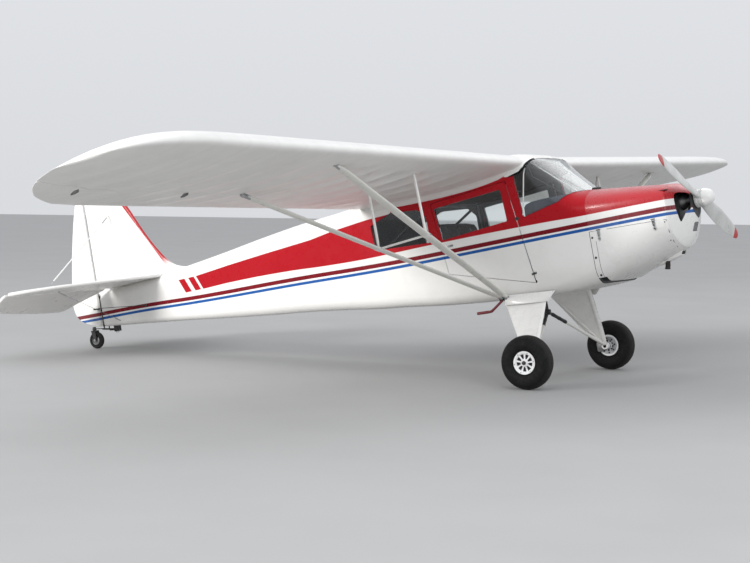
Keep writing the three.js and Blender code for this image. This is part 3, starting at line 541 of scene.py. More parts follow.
def striped(finish, colour, deep):
    """The colour crossed by the dark stripe and the blue one under it."""
    for name, half, paint in (("dark_stripe", 0.018, deep), ("blue_stripe", 0.0125, BLUE)):
        away = finish.math("SUBTRACT", finish.z, side_line(finish, name))
        colour = finish.mix(finish.band(away, -half, half), colour, paint)
    return colour


def livery(name, cloth=False):
    """White over all, a red field on the flank and the nose, two bars behind it and two stripes."""
    gloss = {} if not cloth else {"Specular_IOR_Level": 0.12}
    finish = Finish(name, roughness=0.32, coat=0.0 if cloth else 0.25, **gloss)
    finish.shader.inputs["Coat Roughness"].default_value = 0.12
    white = weathered(finish, WHITE, OLD_WHITE, 0.3)
    fading = finish.span(finish.noise(1.3, 3, 0.5), 0.35, 0.75)
    red = finish.mix(fading, RED, (0.43, 0.010, 0.018))
    deep = finish.mix(fading, DEEP_RED, (0.20, 0.009, 0.016))

    low, top = side_line(finish, "field_low"), side_line(finish, "field_top")
    above = finish.span(finish.math("SUBTRACT", finish.z, low), -PAINT_EDGE, PAINT_EDGE)
    under = finish.span(finish.math("SUBTRACT", finish.z, top), -PAINT_EDGE, PAINT_EDGE, 1.0, 0.0)
    ahead = finish.span(finish.x, 0.05, 0.053)
    under = finish.math("MAXIMUM", under, ahead)
    slant = finish.math("MULTIPLY_ADD", finish.z, 0.52, finish.math("ADD", finish.x, 0.1872))
    panel = finish.span(slant, -3.6565, -3.6535)
    bars = finish.math(
        "MAXIMUM",
        finish.band(slant, -3.885, -3.806, PAINT_EDGE),
        finish.band(slant, -3.757, -3.684, PAINT_EDGE),
    )
    field = finish.math("MULTIPLY", above, under)
    field = finish.math("MULTIPLY", field, finish.math("MAXIMUM", panel, bars))

    colour = striped(finish, finish.mix(field, white, red), deep)
    # Darker in blotches towards the belly
    belly_darkening = finish.span(finish.z, -1.12, -0.86, 0.35, 0.0)
    belly_darkening = finish.math("MULTIPLY", belly_darkening, finish.noise(5, 4, 0.6, stretch=(0.5, 2, 2)))
    colour = finish.mix(belly_darkening, colour, (0.33, 0.31, 0.27))
    finish.colour(colour)
    finish.rough(finish.span(finish.noise(14, 4, 0.6), 0.3, 0.75, 0.24, 0.42))
    if cloth:
        weave(finish)
    else:
        finish.bump(finish.noise(60, 2, 0.5), 0.0003, 0.12)
    return finish.material


RIB_START, RIB_STEP = 0.52, 0.33


def wing_cloth(name):
    """Doped cloth over ribs, with a raised tape along each rib and stitches under it, and painted shade
    in the hollow of each bay between the ribs.
    """
    finish = Finish(name, roughness=0.4, coat=0.1, Coat_Roughness=0.2, Specular_IOR_Level=0.3)
    out = finish.math("ABSOLUTE", finish.y)
    part = finish.repeat(out, RIB_STEP, RIB_START - RIB_STEP / 2)
    beside = finish.math("ABSOLUTE", finish.math("SUBTRACT", part, 0.5))
    tape = finish.span(beside, 0.070, 0.078, 1.0, 0.0)
    knots = finish.math("SINE", finish.math("MULTIPLY", finish.x, 2 * math.pi / 0.064))
    knots = finish.math(
        "MULTIPLY", finish.span(knots, 0.8, 1.0), finish.span(beside, 0.0, 0.02, 1.0, 0.0)
    )
    base = weathered(finish, WHITE, OLD_WHITE, 0.35)
    base = finish.mix(finish.math("MULTIPLY", tape, 0.22), base, (0.70, 0.69, 0.66))
    # Painted shade: the middle of each bay between ribs is darkened, as if the sagging cloth there were
    # in shade
    bay_shade = finish.span(beside, 0.1, 0.48, 0.0, 0.12)
    finish.colour(finish.mix(bay_shade, base, (0.60, 0.595, 0.57)))
    finish.rough(finish.span(finish.noise(11, 4, 0.6), 0.3, 0.75, 0.28, 0.46))
    finish.bump(tape, 0.0008, 0.8)
    finish.bump(knots, 0.0008, 0.6)
    return weave(finish).material


def tail_cloth(name, red_edge=None):
    """Doped cloth over a tube frame. A red band may follow the fin's slanting front edge."""
    finish = Finish(name, roughness=0.36, coat=0.1)
    colour = striped(finish, weathered(finish, WHITE, OLD_WHITE, 0.3), DEEP_RED)
    if red_edge:
        (low_x, low_z), (high_x, high_z) = red_edge
        lean = (high_x - low_x) / (high_z - low_z)
        line = finish.math("MULTIPLY_ADD", finish.z, -lean, finish.x)
        edge = low_x - lean * low_z
        ahead = finish.span(line, edge - PAINT_EDGE, edge + PAINT_EDGE)
        fade = finish.span(finish.z, -0.20, -0.08)
        colour = finish.mix(finish.math("MULTIPLY", ahead, fade), colour, RED)
    finish.colour(colour)
    finish.rough(finish.span(finish.noise(11, 4, 0.6), 0.3, 0.75, 0.26, 0.44))
    return weave(finish).material


def plain_paint(name, base, aged, rough=0.35, coat=0.2):
    """Sprayed paint with orange peel, worn and dusty in places."""
    finish = Finish(name, roughness=rough, coat=coat)
    colour = weathered(finish, base, aged, 0.4)
    chips = finish.span(finish.noise(85, 3, 0.75), 0.70, 0.74, 0.0, 0.25)
    finish.colour(finish.mix(chips, colour, aged))
    finish.rough(finish.span(finish.noise(20, 4, 0.6), 0.3, 0.75, rough * 0.75, rough * 1.35))
    finish.bump(finish.noise(140, 2, 0.5), 0.0004, 0.25)
    return finish.material


def brushed(name, base, dark, rough):
    """Bare metal with fine brushing, spots and dull patches."""
    finish = Finish(name, roughness=rough, metallic=1.0)
    grain = finish.noise(60, 5, 0.7, stretch=(1, 1, 30))
    patches = finish.span(finish.noise(14, 4, 0.6), 0.4, 0.7, 0.0, 0.55)
    colour = finish.mix(finish.span(grain, 0.3, 0.8, 0.0, 0.4), base, dark)
    finish.colour(finish.mix(patches, colour, dark))
    finish.rough(finish.span(grain, 0.25, 0.8, rough * 0.7, rough * 1.5))
    finish.bump(grain, 0.0003, 0.3)
    return finish.material


def rubber(name, axle=None):
    """Dusty black rubber. Where axle is given as x and z, the dust gathers on the tread."""
    finish = Finish(name, roughness=0.8, Specular_IOR_Level=0.2)
    dust = finish.span(finish.noise(26, 5, 0.7), 0.45, 0.75, 0.0, 0.5)
    colour = finish.mix(dust, (0.006, 0.006, 0.0065), (0.016, 0.0155, 0.0145))
    if axle:
        dx = finish.math("SUBTRACT", finish.x, axle[0])
        dz = finish.math("SUBTRACT", finish.z, axle[1])
        squares = finish.math("ADD", finish.math("POWER", dx, 2.0), finish.math("POWER", dz, 2.0))
        reach = finish.math("SQRT", squares)
        tread = finish.math("MULTIPLY", finish.span(reach, axle[2] - 0.03, axle[2]), 0.45)
        colour = finish.mix(tread, colour, (0.045, 0.042, 0.038))
        rings = finish.math("SINE", finish.math("MULTIPLY", reach, 1500.0))
        finish.bump(rings, 0.0003, 0.25)
    finish.colour(colour)
    finish.rough(finish.span(finish.noise(40, 4, 0.6), 0.3, 0.8, 0.6, 0.92))
    finish.bump(finish.noise(300, 3, 0.6), 0.0004, 0.4)
    return finish.material


def cloth(name, base, light, threads):
    """Woven upholstery: two sets of threads, faded in patches."""
    finish = Finish(name, roughness=0.95)
    finish.shader.inputs["Sheen Weight"].default_value = 0.25
    warp = finish.math("SINE", finish.math("MULTIPLY", finish.y, threads * math.pi))
    along = finish.math("ADD", finish.x, finish.z)
    weft = finish.math("SINE", finish.math("MULTIPLY", along, threads * math.pi))
    cross = finish.math("MULTIPLY", warp, weft)
    fleck = finish.span(finish.noise(240, 2, 0.6), 0.4, 0.7, 0.0, 0.5)
    faded = finish.span(finish.noise(4, 3, 0.5), 0.4, 0.75, 0.0, 0.5)
    colour = finish.mix(fleck, base, light)
    colour = finish.mix(faded, colour, light)
    finish.colour(finish.mix(finish.span(cross, 0.0, 1.0, 0.0, 0.35), colour, light))
    finish.bump(cross, 0.0006, 0.6)
    finish.bump(finish.noise(30, 3, 0.5), 0.002, 0.25)
    return finish.material


def clear(name):
    """Clear sheet with faint haze and hairline scratches."""
    finish = Finish(name, roughness=0.02, IOR=1.45)
    finish.shader.inputs["Transmission Weight"].default_value = 1.0
    haze = finish.span(finish.noise(6, 4, 0.6), 0.45, 0.8)
    veil = finish.math("MULTIPLY", haze, 0.3)
    finish.colour(finish.mix(veil, (0.93, 0.96, 0.955), (0.84, 0.88, 0.87)))
    scratches = finish.noise(50, 5, 0.8, stretch=(1, 1, 18))
    finish.rough(finish.span(scratches, 0.55, 0.8, 0.015, 0.09))
    finish.bump(scratches, 0.0001, 0.06)
    return finish.material


def lamp_glass(name, tint):
    finish = Finish(name, roughness=0.08, IOR=1.5)
    finish.shader.inputs["Transmission Weight"].default_value = 0.6
    ripple = finish.math("SINE", finish.math("MULTIPLY", finish.x, 900.0))
    shade = finish.span(finish.noise(40, 3, 0.5), 0.3, 0.8, 0.0, 0.4)
    finish.colour(finish.mix(shade, tint, tuple(c * 0.5 for c in tint)))
    finish.bump(ripple, 0.0008, 0.5)
    return finish.material


def blade_paint(name, centre, tip):
    """Silver blades whose tips are red, told from the distance to the shaft."""
    finish = Finish(name, roughness=0.35, coat=0.1)
    dy = finish.math("POWER", finish.y, 2.0)
    dz = finish.math("POWER", finish.math("SUBTRACT", finish.z, centre), 2.0)
    reach = finish.math("SQRT", finish.math("ADD", dy, dz))
    silver = finish.mix(
        finish.span(finish.noise(5, 4, 0.6), 0.35, 0.75), (0.60, 0.605, 0.59), (0.46, 0.465, 0.44)
    )
    nicks = finish.span(finish.noise(120, 4, 0.75), 0.66, 0.72, 0.0, 0.5)
    silver = finish.mix(nicks, silver, (0.30, 0.30, 0.29))
    red = finish.mix(nicks, (0.42, 0.015, 0.012), (0.25, 0.03, 0.02))
    finish.colour(finish.mix(finish.span(reach, tip - 0.001, tip + 0.001), silver, red))
    finish.rough(finish.span(finish.noise(25, 4, 0.6), 0.3, 0.75, 0.26, 0.48))
    finish.bump(finish.noise(90, 3, 0.6), 0.0004, 0.3)
    return finish.material


def ply(name):
    """Varnished birch ply with its grain along x."""
    finish = Finish(name, roughness=0.45, coat=0.15)
    grain = finish.noise(30, 6, 0.65, stretch=(1, 14, 14))
    colour = finish.mix(finish.span(grain, 0.3, 0.7), (0.34, 0.20, 0.10), (0.46, 0.30, 0.17))
    finish.colour(colour)
    finish.bump(grain, 0.0004, 0.4)
    return finish.material


def dial_face(name):
    """Black instrument face with fine specks of dust. Its marks are pieces of their own."""
    finish = Finish(name, roughness=0.4)
    speck = finish.span(finish.noise(200, 2, 0.6), 0.5, 0.75, 0.0, 0.3)
    finish.colour(finish.mix(speck, (0.012, 0.012, 0.013), (0.05, 0.05, 0.05)))
    finish.bump(finish.noise(400, 2, 0.5), 0.0002, 0.2)
    return finish.material


body_cloth = livery("body_cloth", cloth=True)
cowl_paint = livery("cowl_paint")
wing_skin = wing_cloth("wing_cloth")
tail_skin = tail_cloth("tail_cloth")
fin_skin = tail_cloth("fin_cloth", red_edge=((-4.235, -0.033), (-4.565, 0.499)))
white = plain_paint("white_enamel", WHITE, OLD_WHITE, 0.3)
cream = plain_paint("strut_enamel", (0.72, 0.715, 0.67), (0.55, 0.545, 0.50), 0.34)
red = plain_paint("red_enamel", RED, (0.33, 0.018, 0.026), 0.3)
black = plain_paint("black_enamel", (0.014, 0.014, 0.015), (0.05, 0.048, 0.045), 0.45, 0.05)
maroon = plain_paint("step_enamel", (0.14, 0.008, 0.014), (0.09, 0.03, 0.03), 0.4)
lining = cloth("cabin_lining", (0.035, 0.036, 0.038), (0.075, 0.076, 0.078), 500.0)
seat_cloth = cloth("seat_cloth", (0.075, 0.072, 0.07), (0.16, 0.15, 0.145), 620.0)
seat_piping = cloth("seat_piping", (0.02, 0.02, 0.021), (0.05, 0.05, 0.05), 900.0)
aluminium = brushed("aluminium", (0.24, 0.245, 0.24), (0.14, 0.142, 0.145), 0.45)
steel = brushed("steel", (0.50, 0.51, 0.52), (0.28, 0.285, 0.29), 0.28)
engine_metal = brushed("engine_metal", (0.28, 0.28, 0.28), (0.09, 0.088, 0.085), 0.5)
engine_black = plain_paint("engine_black", (0.02, 0.02, 0.021), (0.07, 0.066, 0.06), 0.55, 0.0)
rust = plain_paint("exhaust_rust", (0.022, 0.017, 0.014), (0.055, 0.032, 0.022), 0.75, 0.0)
seal = rubber("rubber_seal")
pane = clear("clear_sheet")
panel_black = plain_paint("panel_black", (0.018, 0.018, 0.019), (0.045, 0.045, 0.045), 0.6, 0.0)
glare_grey = cloth("glareshield", (0.085, 0.10, 0.135), (0.14, 0.155, 0.19), 400.0)
dial = dial_face("dial_face")
marks = plain_paint("dial_marks", (0.75, 0.74, 0.70), (0.5, 0.5, 0.46), 0.5, 0.0)
green_lens = lamp_glass("green_lens", (0.02, 0.42, 0.24))
red_lens = lamp_glass("red_lens", (0.55, 0.02, 0.02))
clear_lens = lamp_glass("clear_lens", (0.30, 0.31, 0.32))
plywood = ply("plywood")


# Fuselage sections: x, half width, bottom, shoulder, top, fullness of the arch, corner radius.
# Millimetres. Each table is read smoothly, and the tables meet at a crease.

NOSE_ROWS = [
    (380, 486, -1143, -530, -327, 2.8, 130),
    (490, 480, -1135, -540, -340, 2.6, 150),
    (660, 474, -1108, -545, -362, 2.6, 145),
    (880, 456, -1052, -550, -390, 2.6, 140),
    (1020, 434, -1002, -555, -409, 2.6, 150),
    (1134, 405, -960, -560, -423, 2.5, 160),
    (1170, 356, -918, -562, -434, 2.4, 160),
    (1205, 282, -863, -565, -458, 2.3, 140),
    (1238, 196, -792, -568, -482, 2.1, 100),
    (1262, 124, -737, -570, -502, 2, 60),
]
SCREEN_ROWS = [
    (60, 500, -1150, -260, 10, 3.4, 90),
    (120, 498, -1150, -340, -53, 3, 90),
    (250, 492, -1149, -470, -190, 2.8, 105),
    (380, 486, -1143, -530, -327, 2.8, 130),
]
# How far the corner gives way to a round keel, and the fullness of the keel's curve
KEEL_ROWS = [
    (380, 0, 2), (490, 0, 2), (660, 0.25, 2), (880, 0.6, 2), (1020, 0.85, 2), (1134, 1, 2),
    (1170, 1, 1.75), (1205, 1, 1.5), (1238, 1, 1.5), (1262, 1, 1.5),
]
REAR_ROWS = [
    (-5030, 36, -645, -400, -312, 2, 20),
    (-4470, 128, -698, -380, -265, 2, 50),
    (-3900, 205, -753, -360, -230, 2.2, 60),
    (-3400, 268, -808, -340, -180, 2.2, 70),
    (-2900, 330, -860, -315, -122, 2.3, 80),
    (-2400, 392, -906, -290, -76, 2.4, 85),
    (-1950, 446, -957, -260, -53, 2.6, 90),
    (-1600, 490, -1003, -230, -25, 3, 90),
    (-1350, 500, -1028, -200, 8, 3.5, 90),
    (-950, 500, -1077, -190, 62, 4, 90),
    (-500, 500, -1118, -190, 98, 4.5, 90),
    (-160, 500, -1143, -190, 88, 4.5, 90),
    (-20, 500, -1148, -200, 55, 4, 90),
    (60, 500, -1150, -260, 10, 3.4, 90),
]
nose_table, screen_table, rear_table = map(smooth_table, (NOSE_ROWS, SCREEN_ROWS, REAR_ROWS))
keel_table = smooth_table(KEEL_ROWS)
# The keel's curve begins this share of the way from the shoulder down to the bottom
KEEL_START = 0.2
WALL = 25
CREASES = (60, 380)
STERN_X, FIREWALL_X = -5030, 490


def section(x):
    if x > CREASES[1]:
        return nose_table(x)
    return screen_table(x) if x > CREASES[0] else rear_table(x)


def half_ring(x, inward=0.0):
    """Half of a section from the belly to the ridge, as y and z in millimetres."""
    half_width, bottom, shoulder, top, fullness, corner = section(x)
    width, low, high = half_width - inward, bottom + inward, top - inward
    radius = max(corner - inward, 12)
    flat = [((width - radius) * i / 5, low) for i in range(5)]
    for i in range(8):
        angle = math.pi / 2 * i / 7
        flat.append((width - radius * (1 - math.sin(angle)), low + radius * (1 - math.cos(angle))))
    share, keel_fullness = keel_table(x)
    waist = shoulder + KEEL_START * (low - shoulder)
    half = []
    for i, (y, z) in enumerate(flat):
        angle = math.pi / 2 * i / (len(flat) - 1)
        keel_y = width * math.sin(angle) ** (2 / keel_fullness)
        keel_z = waist + (low - waist) * max(math.cos(angle), 0) ** (2 / keel_fullness)
        half.append((y + (keel_y - y) * share, z + (keel_z - z) * share))
    start = half[-1][1]
    half += [(width, start + (shoulder - start) * i / 5) for i in range(1, 5)]
    arch = []
    for i in range(121):
        angle = math.pi / 2 * (1 - math.cos(math.pi * i / 120)) / 2
        y = width * max(math.cos(angle), 0) ** (2 / fullness)
        arch.append((y, shoulder + (high - shoulder) * math.sin(angle) ** (2 / fullness)))
    lengths = [0.0]
    for (y, z), (far_y, far_z) in zip(arch, arch[1:]):
        lengths.append(lengths[-1] + math.hypot(far_y - y, far_z - z))
    count, k = 20, 0
    for i in range(count + 1):
        target = lengths[-1] * i / count
        while k < len(lengths) - 2 and lengths[k + 1] < target:
            k += 1
        part = (target - lengths[k]) / max(lengths[k + 1] - lengths[k], 1e-9)
        (y, z), (far_y, far_z) = arch[k], arch[k + 1]
        half.append((y + (far_y - y) * part, z + (far_z - z) * part))
    half[-1] = (0.0, high)
    return half


def body_ring(x, inward=0.0):
    half = half_ring(x, inward)
    other = [(-y, z) for y, z in half[1:-1]][::-1]
    return [Vector((x * MM, y * MM, z * MM)) for y, z in half + other]


def stations(start, end, step=38.0):
    """Places along the body, with one on each crease."""
    marks = sorted({start, end, *[c for c in CREASES if start < c < end]})
    places = [marks[0]]
    for low, high in zip(marks, marks[1:]):
        places += steps_between(low, high, step)[1:]
    return places


def body_solid(name, start, end, inward=0.0, step=38.0, material=None):
    rings = [body_ring(x, inward) for x in stations(start, end, step)]
    return Shape().loft(rings).object(name, *([material] if material else []))


def side_prism(outline, start, end, radius=0.0):
    """A cutter: an outline in millimetres of x and z, carried across from one y to another."""
    if radius:
        outline = rounded(outline, radius)
    outline = [(x * MM, z * MM) for x, z in outline]
    return Shape().prism(outline, start * MM, end * MM).object("side_prism")


outlines = {}


def within(point, inward):
    """Whether a point lies inside the body's form drawn in by so many millimetres."""
    x, y, z = round(point[0] / MM, 1), abs(point[1]) / MM, point[2] / MM
    if (x, inward) not in outlines:
        outlines[x, inward] = half_ring(x, inward)
    outline = outlines[x, inward]
    for (near_y, near_z), (far_y, far_z) in zip(outline, outline[1:]):
        if near_z < z <= far_z:
            return y < near_y + (far_y - near_y) * (z - near_z) / (far_z - near_z)
    return False


def line_inside(made, kind, inward=14.0, start=-1.62, end=0.5):
    """Gives another material to the faces on the inner side of a wall."""
    for polygon in made.data.polygons:
        centre = polygon.center
        if start < centre.x < end and within(centre, inward):
            polygon.material_index = kind


# Side outlines of the openings, as x and z in millimetres

WINDSHIELD = [
    (-58, -473), (265, -405), (392, -328), (560, 150), (120, 150), (52, 18), (-9, -64), (-91, -121),
]
DOOR = [(-166, -140), (-30, -1035), (-838, -822), (-905, -192)]
DOOR_WINDOW = [(-226, -203), (-212, -475), (-841, -525), (-876, -243)]
REAR_WINDOW = [
    (-1525, -272), (-1308, -195), (-1036, -220), (-962, -300), (-962, -521), (-1516, -493),
]

# From one y to another, through the port wall
PORT_WALL = (420, 600)

# Fuselage: one skin from the firewall to the sternpost, hollow where the cabin is

skin = body_solid("fuselage_skin", STERN_X, FIREWALL_X, material=body_cloth)
skin.data.materials.append(lining)
skin.data.materials.append(seal)
body_form = body_solid("body_form", STERN_X, FIREWALL_X)
cabin_room = body_solid("cabin_room", -1575, 465, WALL)
combine(skin, cabin_room, "DIFFERENCE", keep=True)
door_wall = copy_of(skin, "door_skin_left")
combine(skin, side_prism(WINDSHIELD, *ACROSS), "DIFFERENCE")
for sign in (1, -1):
    low, high = sorted((PORT_WALL[0] * sign, PORT_WALL[1] * sign))
    combine(skin, side_prism(DOOR, low, high, 20), "DIFFERENCE")
    combine(skin, side_prism(REAR_WINDOW, low, high, 16), "DIFFERENCE")
line_inside(skin, 1)
soften(skin, 32)
place(skin, "airframe", "white_fabric", "cabin_shell", "tail_cone")

# Doors, hollow in the middle of their wall, with a bevelled front edge that clears the jamb

FRONT_GAP = 14
combine(door_wall, side_prism(inset(DOOR, 4), *PORT_WALL, 16), "INTERSECT")
combine(door_wall, side_prism(DOOR_WINDOW, *PORT_WALL, 14), "DIFFERENCE")


def edge_cutter(shape):
    rings = []
    for (x, z), rise in ((DOOR[0], 20), (DOOR[1], -20)):
        rings.append([Vector(((x + dx) * MM, y * MM, (z + rise) * MM)) for dx, y in shape])
    return Shape().loft(rings).object("edge_cutter")


for edge_shape in (
    [(20, 440), (20, 501), (-FRONT_GAP, 501), (-FRONT_GAP, 440)],
    [(-10, 440), (-10, 498), (-FRONT_GAP, 494), (-FRONT_GAP - 57, 440)],
):
    combine(door_wall, edge_cutter(edge_shape), "DIFFERENCE")
line_inside(door_wall, 1, 6.0)
soften(door_wall, 32)
place_pair(door_wall, "door", "red_paint", "door")

# Window sheets: the flat ones are the part's own solids

for side in ("left", "right"):
    for node in (f"door_window_{side}", f"rear_window_{side}"):
        frame["nodes"][node].data.materials.clear()
        frame["nodes"][node].data.materials.append(pane)


def shell_between(name, start, end, outer, inner):
    """A curved sheet that follows the body, between two depths under its surface."""
    made = body_solid(name, start, end, outer, 24.0)
    combine(made, body_solid("inner_form", start - 30, end + 30, inner, 24.0), "DIFFERENCE")
    return made


screen = shell_between("windshield_sheet", -110, 450, 0.6, 4.0)
combine(screen, side_prism(inset(WINDSHIELD, 2), *ACROSS), "INTERSECT")
place(dressed(screen, 30, pane), "airframe", "clear_pane", "windshield")
trim = shell_between("windshield_trim", -130, 470, -1.2, 3)
combine(trim, side_prism(inset(WINDSHIELD, -2.5), *ACROSS), "INTERSECT")
combine(trim, side_prism(inset(WINDSHIELD, 4), -700, 700), "DIFFERENCE")
place(dressed(trim, 30, black), "airframe", "black_paint")


# Cowl and nose bowl

SEAM_X, NOSE_X = 1134, 1262
STUB_Y = -0.035
cowl = body_solid("cowl_skin", 490.4, SEAM_X - 0.2, step=20.0, material=cowl_paint)
cowl.data.materials.append(engine_black)
combine(cowl, body_solid("cowl_room", 480, SEAM_X + 20, 5), "DIFFERENCE")
combine(cowl, Shape().block((0.48, -0.44, -1.25), (0.552, 0.44, -1.085)).object("outlet"), "DIFFERENCE")
stub_hole = Shape().turned((0.948, STUB_Y, -1.2), UP, plug(0.032, 0, 0.3), 24)
combine(cowl, stub_hole.object("stub_hole"), "DIFFERENCE")
line_inside(cowl, 1, 3.0, 0.49, 1.14)
soften(cowl, 32)
place(cowl, "airframe", "red_paint", "cowl")


def nose_solid(name, start, end, inward=0.0, step=7.0, round_front=True):
    """The bowl's form, with its front edge turned in."""
    rings = [body_ring(x, inward) for x in steps_between(start, end, step)]
    if round_front:
        last = rings[-1]
        middle = sum(last, Vector()) / len(last)
        for ahead, share in ((2.5, 0.985), (4.5, 0.95), (5.5, 0.88)):
            rings.append([middle + (p - middle) * share + Vector((ahead * MM, 0, 0)) for p in last])
    return Shape().loft(rings).object(name)


# The cheek openings as seen from ahead, y and z for the port side: a round-topped mouth
# beside the shaft that runs down and outwards into a narrow foot.
CHEEK = [
    (104, -538), (150, -520), (220, -512), (276, -516), (300, -532), (310, -562), (308, -640),
    (292, -676), (272, -712), (246, -748), (226, -750), (206, -716), (182, -676), (124, -660),
]
bowl = nose_solid("nose_bowl_skin", SEAM_X + 0.2, NOSE_X)
bowl.data.materials.append(cowl_paint)
bowl.data.materials.append(engine_black)
combine(bowl, nose_solid("bowl_room", SEAM_X - 5, 1252, 5, round_front=False), "DIFFERENCE")
for sign in (1, -1):
    mouth = [(y * sign * MM, z * MM) for y, z in rounded(CHEEK, 16, 3)]
    combine(bowl, Shape().prism(mouth, 1.165, 1.4, plane="yz").object("mouth"), "DIFFERENCE")
shaft_hole = Shape().turned((0, 0, SHAFT_Z), FORWARD, plug(0.056, 1.2, 1.3), 32)
combine(bowl, shaft_hole.object("shaft_hole"), "DIFFERENCE")
LAMP_WINDOW = rounded(oblong((-0.052, -0.838), (0.052, -0.766)), 0.012, 4)
combine(bowl, Shape().prism(LAMP_WINDOW, 1.16, 1.4, plane="yz").object("lamp_hole"), "DIFFERENCE")
line_inside(bowl, 1, 3.0, 1.13, 1.3)
soften(bowl, 32)
bevel(bowl, 0.0016, 2, 50)
place(bowl, "airframe", "white_paint", "nose_bowl")


def surface_x(y, z):
    """How far forward the bowl's surface stands at a place seen from ahead, in metres."""
    low, high = 1.0, 1.2675
    for _ in range(24):
        middle = (low + high) / 2
        x = min(middle / MM, NOSE_X)
        share = 1 - 0.12 * clamp((middle - 1.262) / 0.0055)
        _, bottom, _, top, _, _ = section(x)
        centre = (bottom + top) / 2
        inside_y, inside_z = abs(y) / MM / share, centre + (z / MM - centre) / share
        if within(Vector((x * MM, inside_y * MM, inside_z * MM)), 0):
            low = middle
        else:
            high = middle
    return low


# Landing lamp behind its small window in the bowl
lamp = Shape()
lamp.turned(
    (1.190, 0, -0.802), FORWARD,
    [(0.003, -0.02), (0.02, -0.012), (0.031, 0.008), (0.033, 0.010)], 32, 0
)
back_plate = rounded(oblong((-0.062, -0.846), (0.062, -0.758)), 0.012, 4)
lamp.prism(back_plate, 1.158, 1.164, 1, "yz")
lamp = lamp.object("nose_lamp", steel, engine_black)
place(lamp, "airframe", "bare_metal")
lens = inset(LAMP_WINDOW, 0.001)
cover = Shape().loft([
    [Vector((surface_x(y, z) - 0.004, y, z)) for y, z in lens],
    [Vector((surface_x(y, z) - 0.0015, y, z)) for y, z in lens],
]).object("nose_lamp_cover", clear_lens)
place(cover, "airframe", "clear_pane")

# Scoop under the nose
SCOOP_ROWS = [
    (850, 40, -1066), (900, 56, -1062), (1000, 58, -1032), (1078, 58, -1014), (1146, 56, -938),
]


def scoop_ring(x, half_width, bottom, inward):
    width, low, soft = half_width - inward, bottom + inward, 16 - inward
    half = [(width, -900), (width, low + soft)]
    half += [(width - soft * (1 - math.cos(a)), low + soft * (1 - math.sin(a)))
             for a in (0.4, 0.8, 1.2)]
    half += [(width - soft, low)]
    ring = half + [(-y, z) for y, z in half[::-1]]
    return [Vector((x * MM, y * MM, z * MM)) for y, z in ring]


def scoop_solid(name, inward, start):
    rows = [scoop_ring(*row, inward) for row in SCOOP_ROWS if row[0] >= start]
    return Shape().loft(rows).object(name)


scoop = scoop_solid("chin_scoop_skin", 0, 0)
scoop.data.materials.append(white)
combine(scoop, scoop_solid("scoop_room", 4, 900), "DIFFERENCE")
scoop_mouth = [(1.142, -0.900), (1.068, -1.030), (1.068, -1.06), (1.22, -1.06), (1.22, -0.900)]
combine(scoop, Shape().prism(scoop_mouth, -0.08, 0.08).object("scoop_mouth"), "DIFFERENCE")
combine(scoop, body_solid("cowl_form", 600, NOSE_X, -0.2), "DIFFERENCE")
bevel(scoop, 0.002, 2, 40)
place(scoop, "airframe", "white_paint", "chin_scoop")
filter_box = Shape().prism(
    [(1.1313, -0.904), (1.0700, -1.0075), (1.0675, -1.0060), (1.1288, -0.9025)], -0.053, 0.053
)
for i in range(12):
    x, z = 1.1305 - 0.0050 * i, -0.906 - 0.0085 * i
    filter_box.tube([(x, -0.0525, z), (x, 0.0525, z)], 0.0014, 6, 0)
place(filter_box.object("scoop_screen", engine_black), "airframe", "dark_metal")

# Engine: crankcase, barrels with fins, rocker covers, rods, manifolds and baffles

ENGINE_Z = -0.600
CYLINDERS_X = (0.86, 1.04)
motor = Shape()
case = rounded(
    [(-0.11, -0.76), (0.11, -0.76), (0.11, -0.52), (0.05, -0.505), (-0.05, -0.505), (-0.11, -0.52)],
    0.03, 4
)
motor.prism(case, 0.735, 1.15, 1, "yz")
accessories = rounded(oblong((-0.085, -0.71), (0.085, -0.545)), 0.02, 3)
motor.prism(accessories, 0.5, 0.735, 1, "yz")
motor.turned(
    (1.15, 0, SHAFT_Z), FORWARD,
    [(0, 0), (0.072, 0), (0.068, 0.02), (0.045, 0.05), (0.04, 0.06), (0.034, 0.115), (0, 0.115)],
    32, 1
)
for x in CYLINDERS_X:
    for side in (1, -1):
        motor.turned((x, 0, ENGINE_Z), (0, side, 0), plug(0.05, 0.09, 0.36), 24, 1)
        for fin in range(18):
            y = side * (0.125 + fin * 0.0115)
            reach = 0.074 if fin > 8 else 0.066
            outline = oblong((x - reach, ENGINE_Z - reach), (x + reach, ENGINE_Z + reach))
            motor.prism(rounded(outline, 0.03, 3), y - 0.0013, y + 0.0013, 0)
        cover = rounded(oblong((x - 0.06, -0.64), (x + 0.06, -0.545)), 0.02, 4)
        low, high = sorted((side * 0.34, side * 0.372))
        motor.prism(cover, low, high, 2)
        for dz in (-0.022, 0.022):
            motor.tube(
                [(x - 0.02, side * 0.1, -0.66 + dz), (x - 0.012, side * 0.345, -0.65 + dz / 2)],
                0.008, 10, 2
            )
        header = [
            (x + 0.02, side * 0.31, -0.665), (x + 0.02, side * 0.28, -0.74),
            (0.95, side * 0.2, -0.80), (0.93, side * 0.15, -0.83),
        ]
        motor.tube(header, 0.019, 12, 3)
collector = [
    (0.930, 0.15, -0.83), (0.945, 0.04, -0.845), (0.952, -0.03, -0.855), (0.930, -0.15, -0.83),
]
motor.tube(collector, 0.020, 16, 3)
stub = [(0.950, -0.85), (0.950, -1.02), (0.946, -1.07), (0.936, -1.105)]
motor.tube([(x, STUB_Y, z) for x, z in stub], 0.021, 20, 3)
motor.tube([(0.9385, STUB_Y, -1.095), (0.936, STUB_Y, -1.1055)], 0.0225, 20, 3)
for side in (1, -1):
    lead = [
        (1.04, side * 0.33, -0.555), (1.09, side * 0.25, -0.50), (1.0, side * 0.08, -0.47),
        (0.8, side * 0.05, -0.48),
    ]
    motor.tube(lead, 0.0035, 6, 2)
engine = motor.object("engine_detail", aluminium, engine_metal, engine_black, rust)
place(engine, "airframe", "dark_metal", "engine")

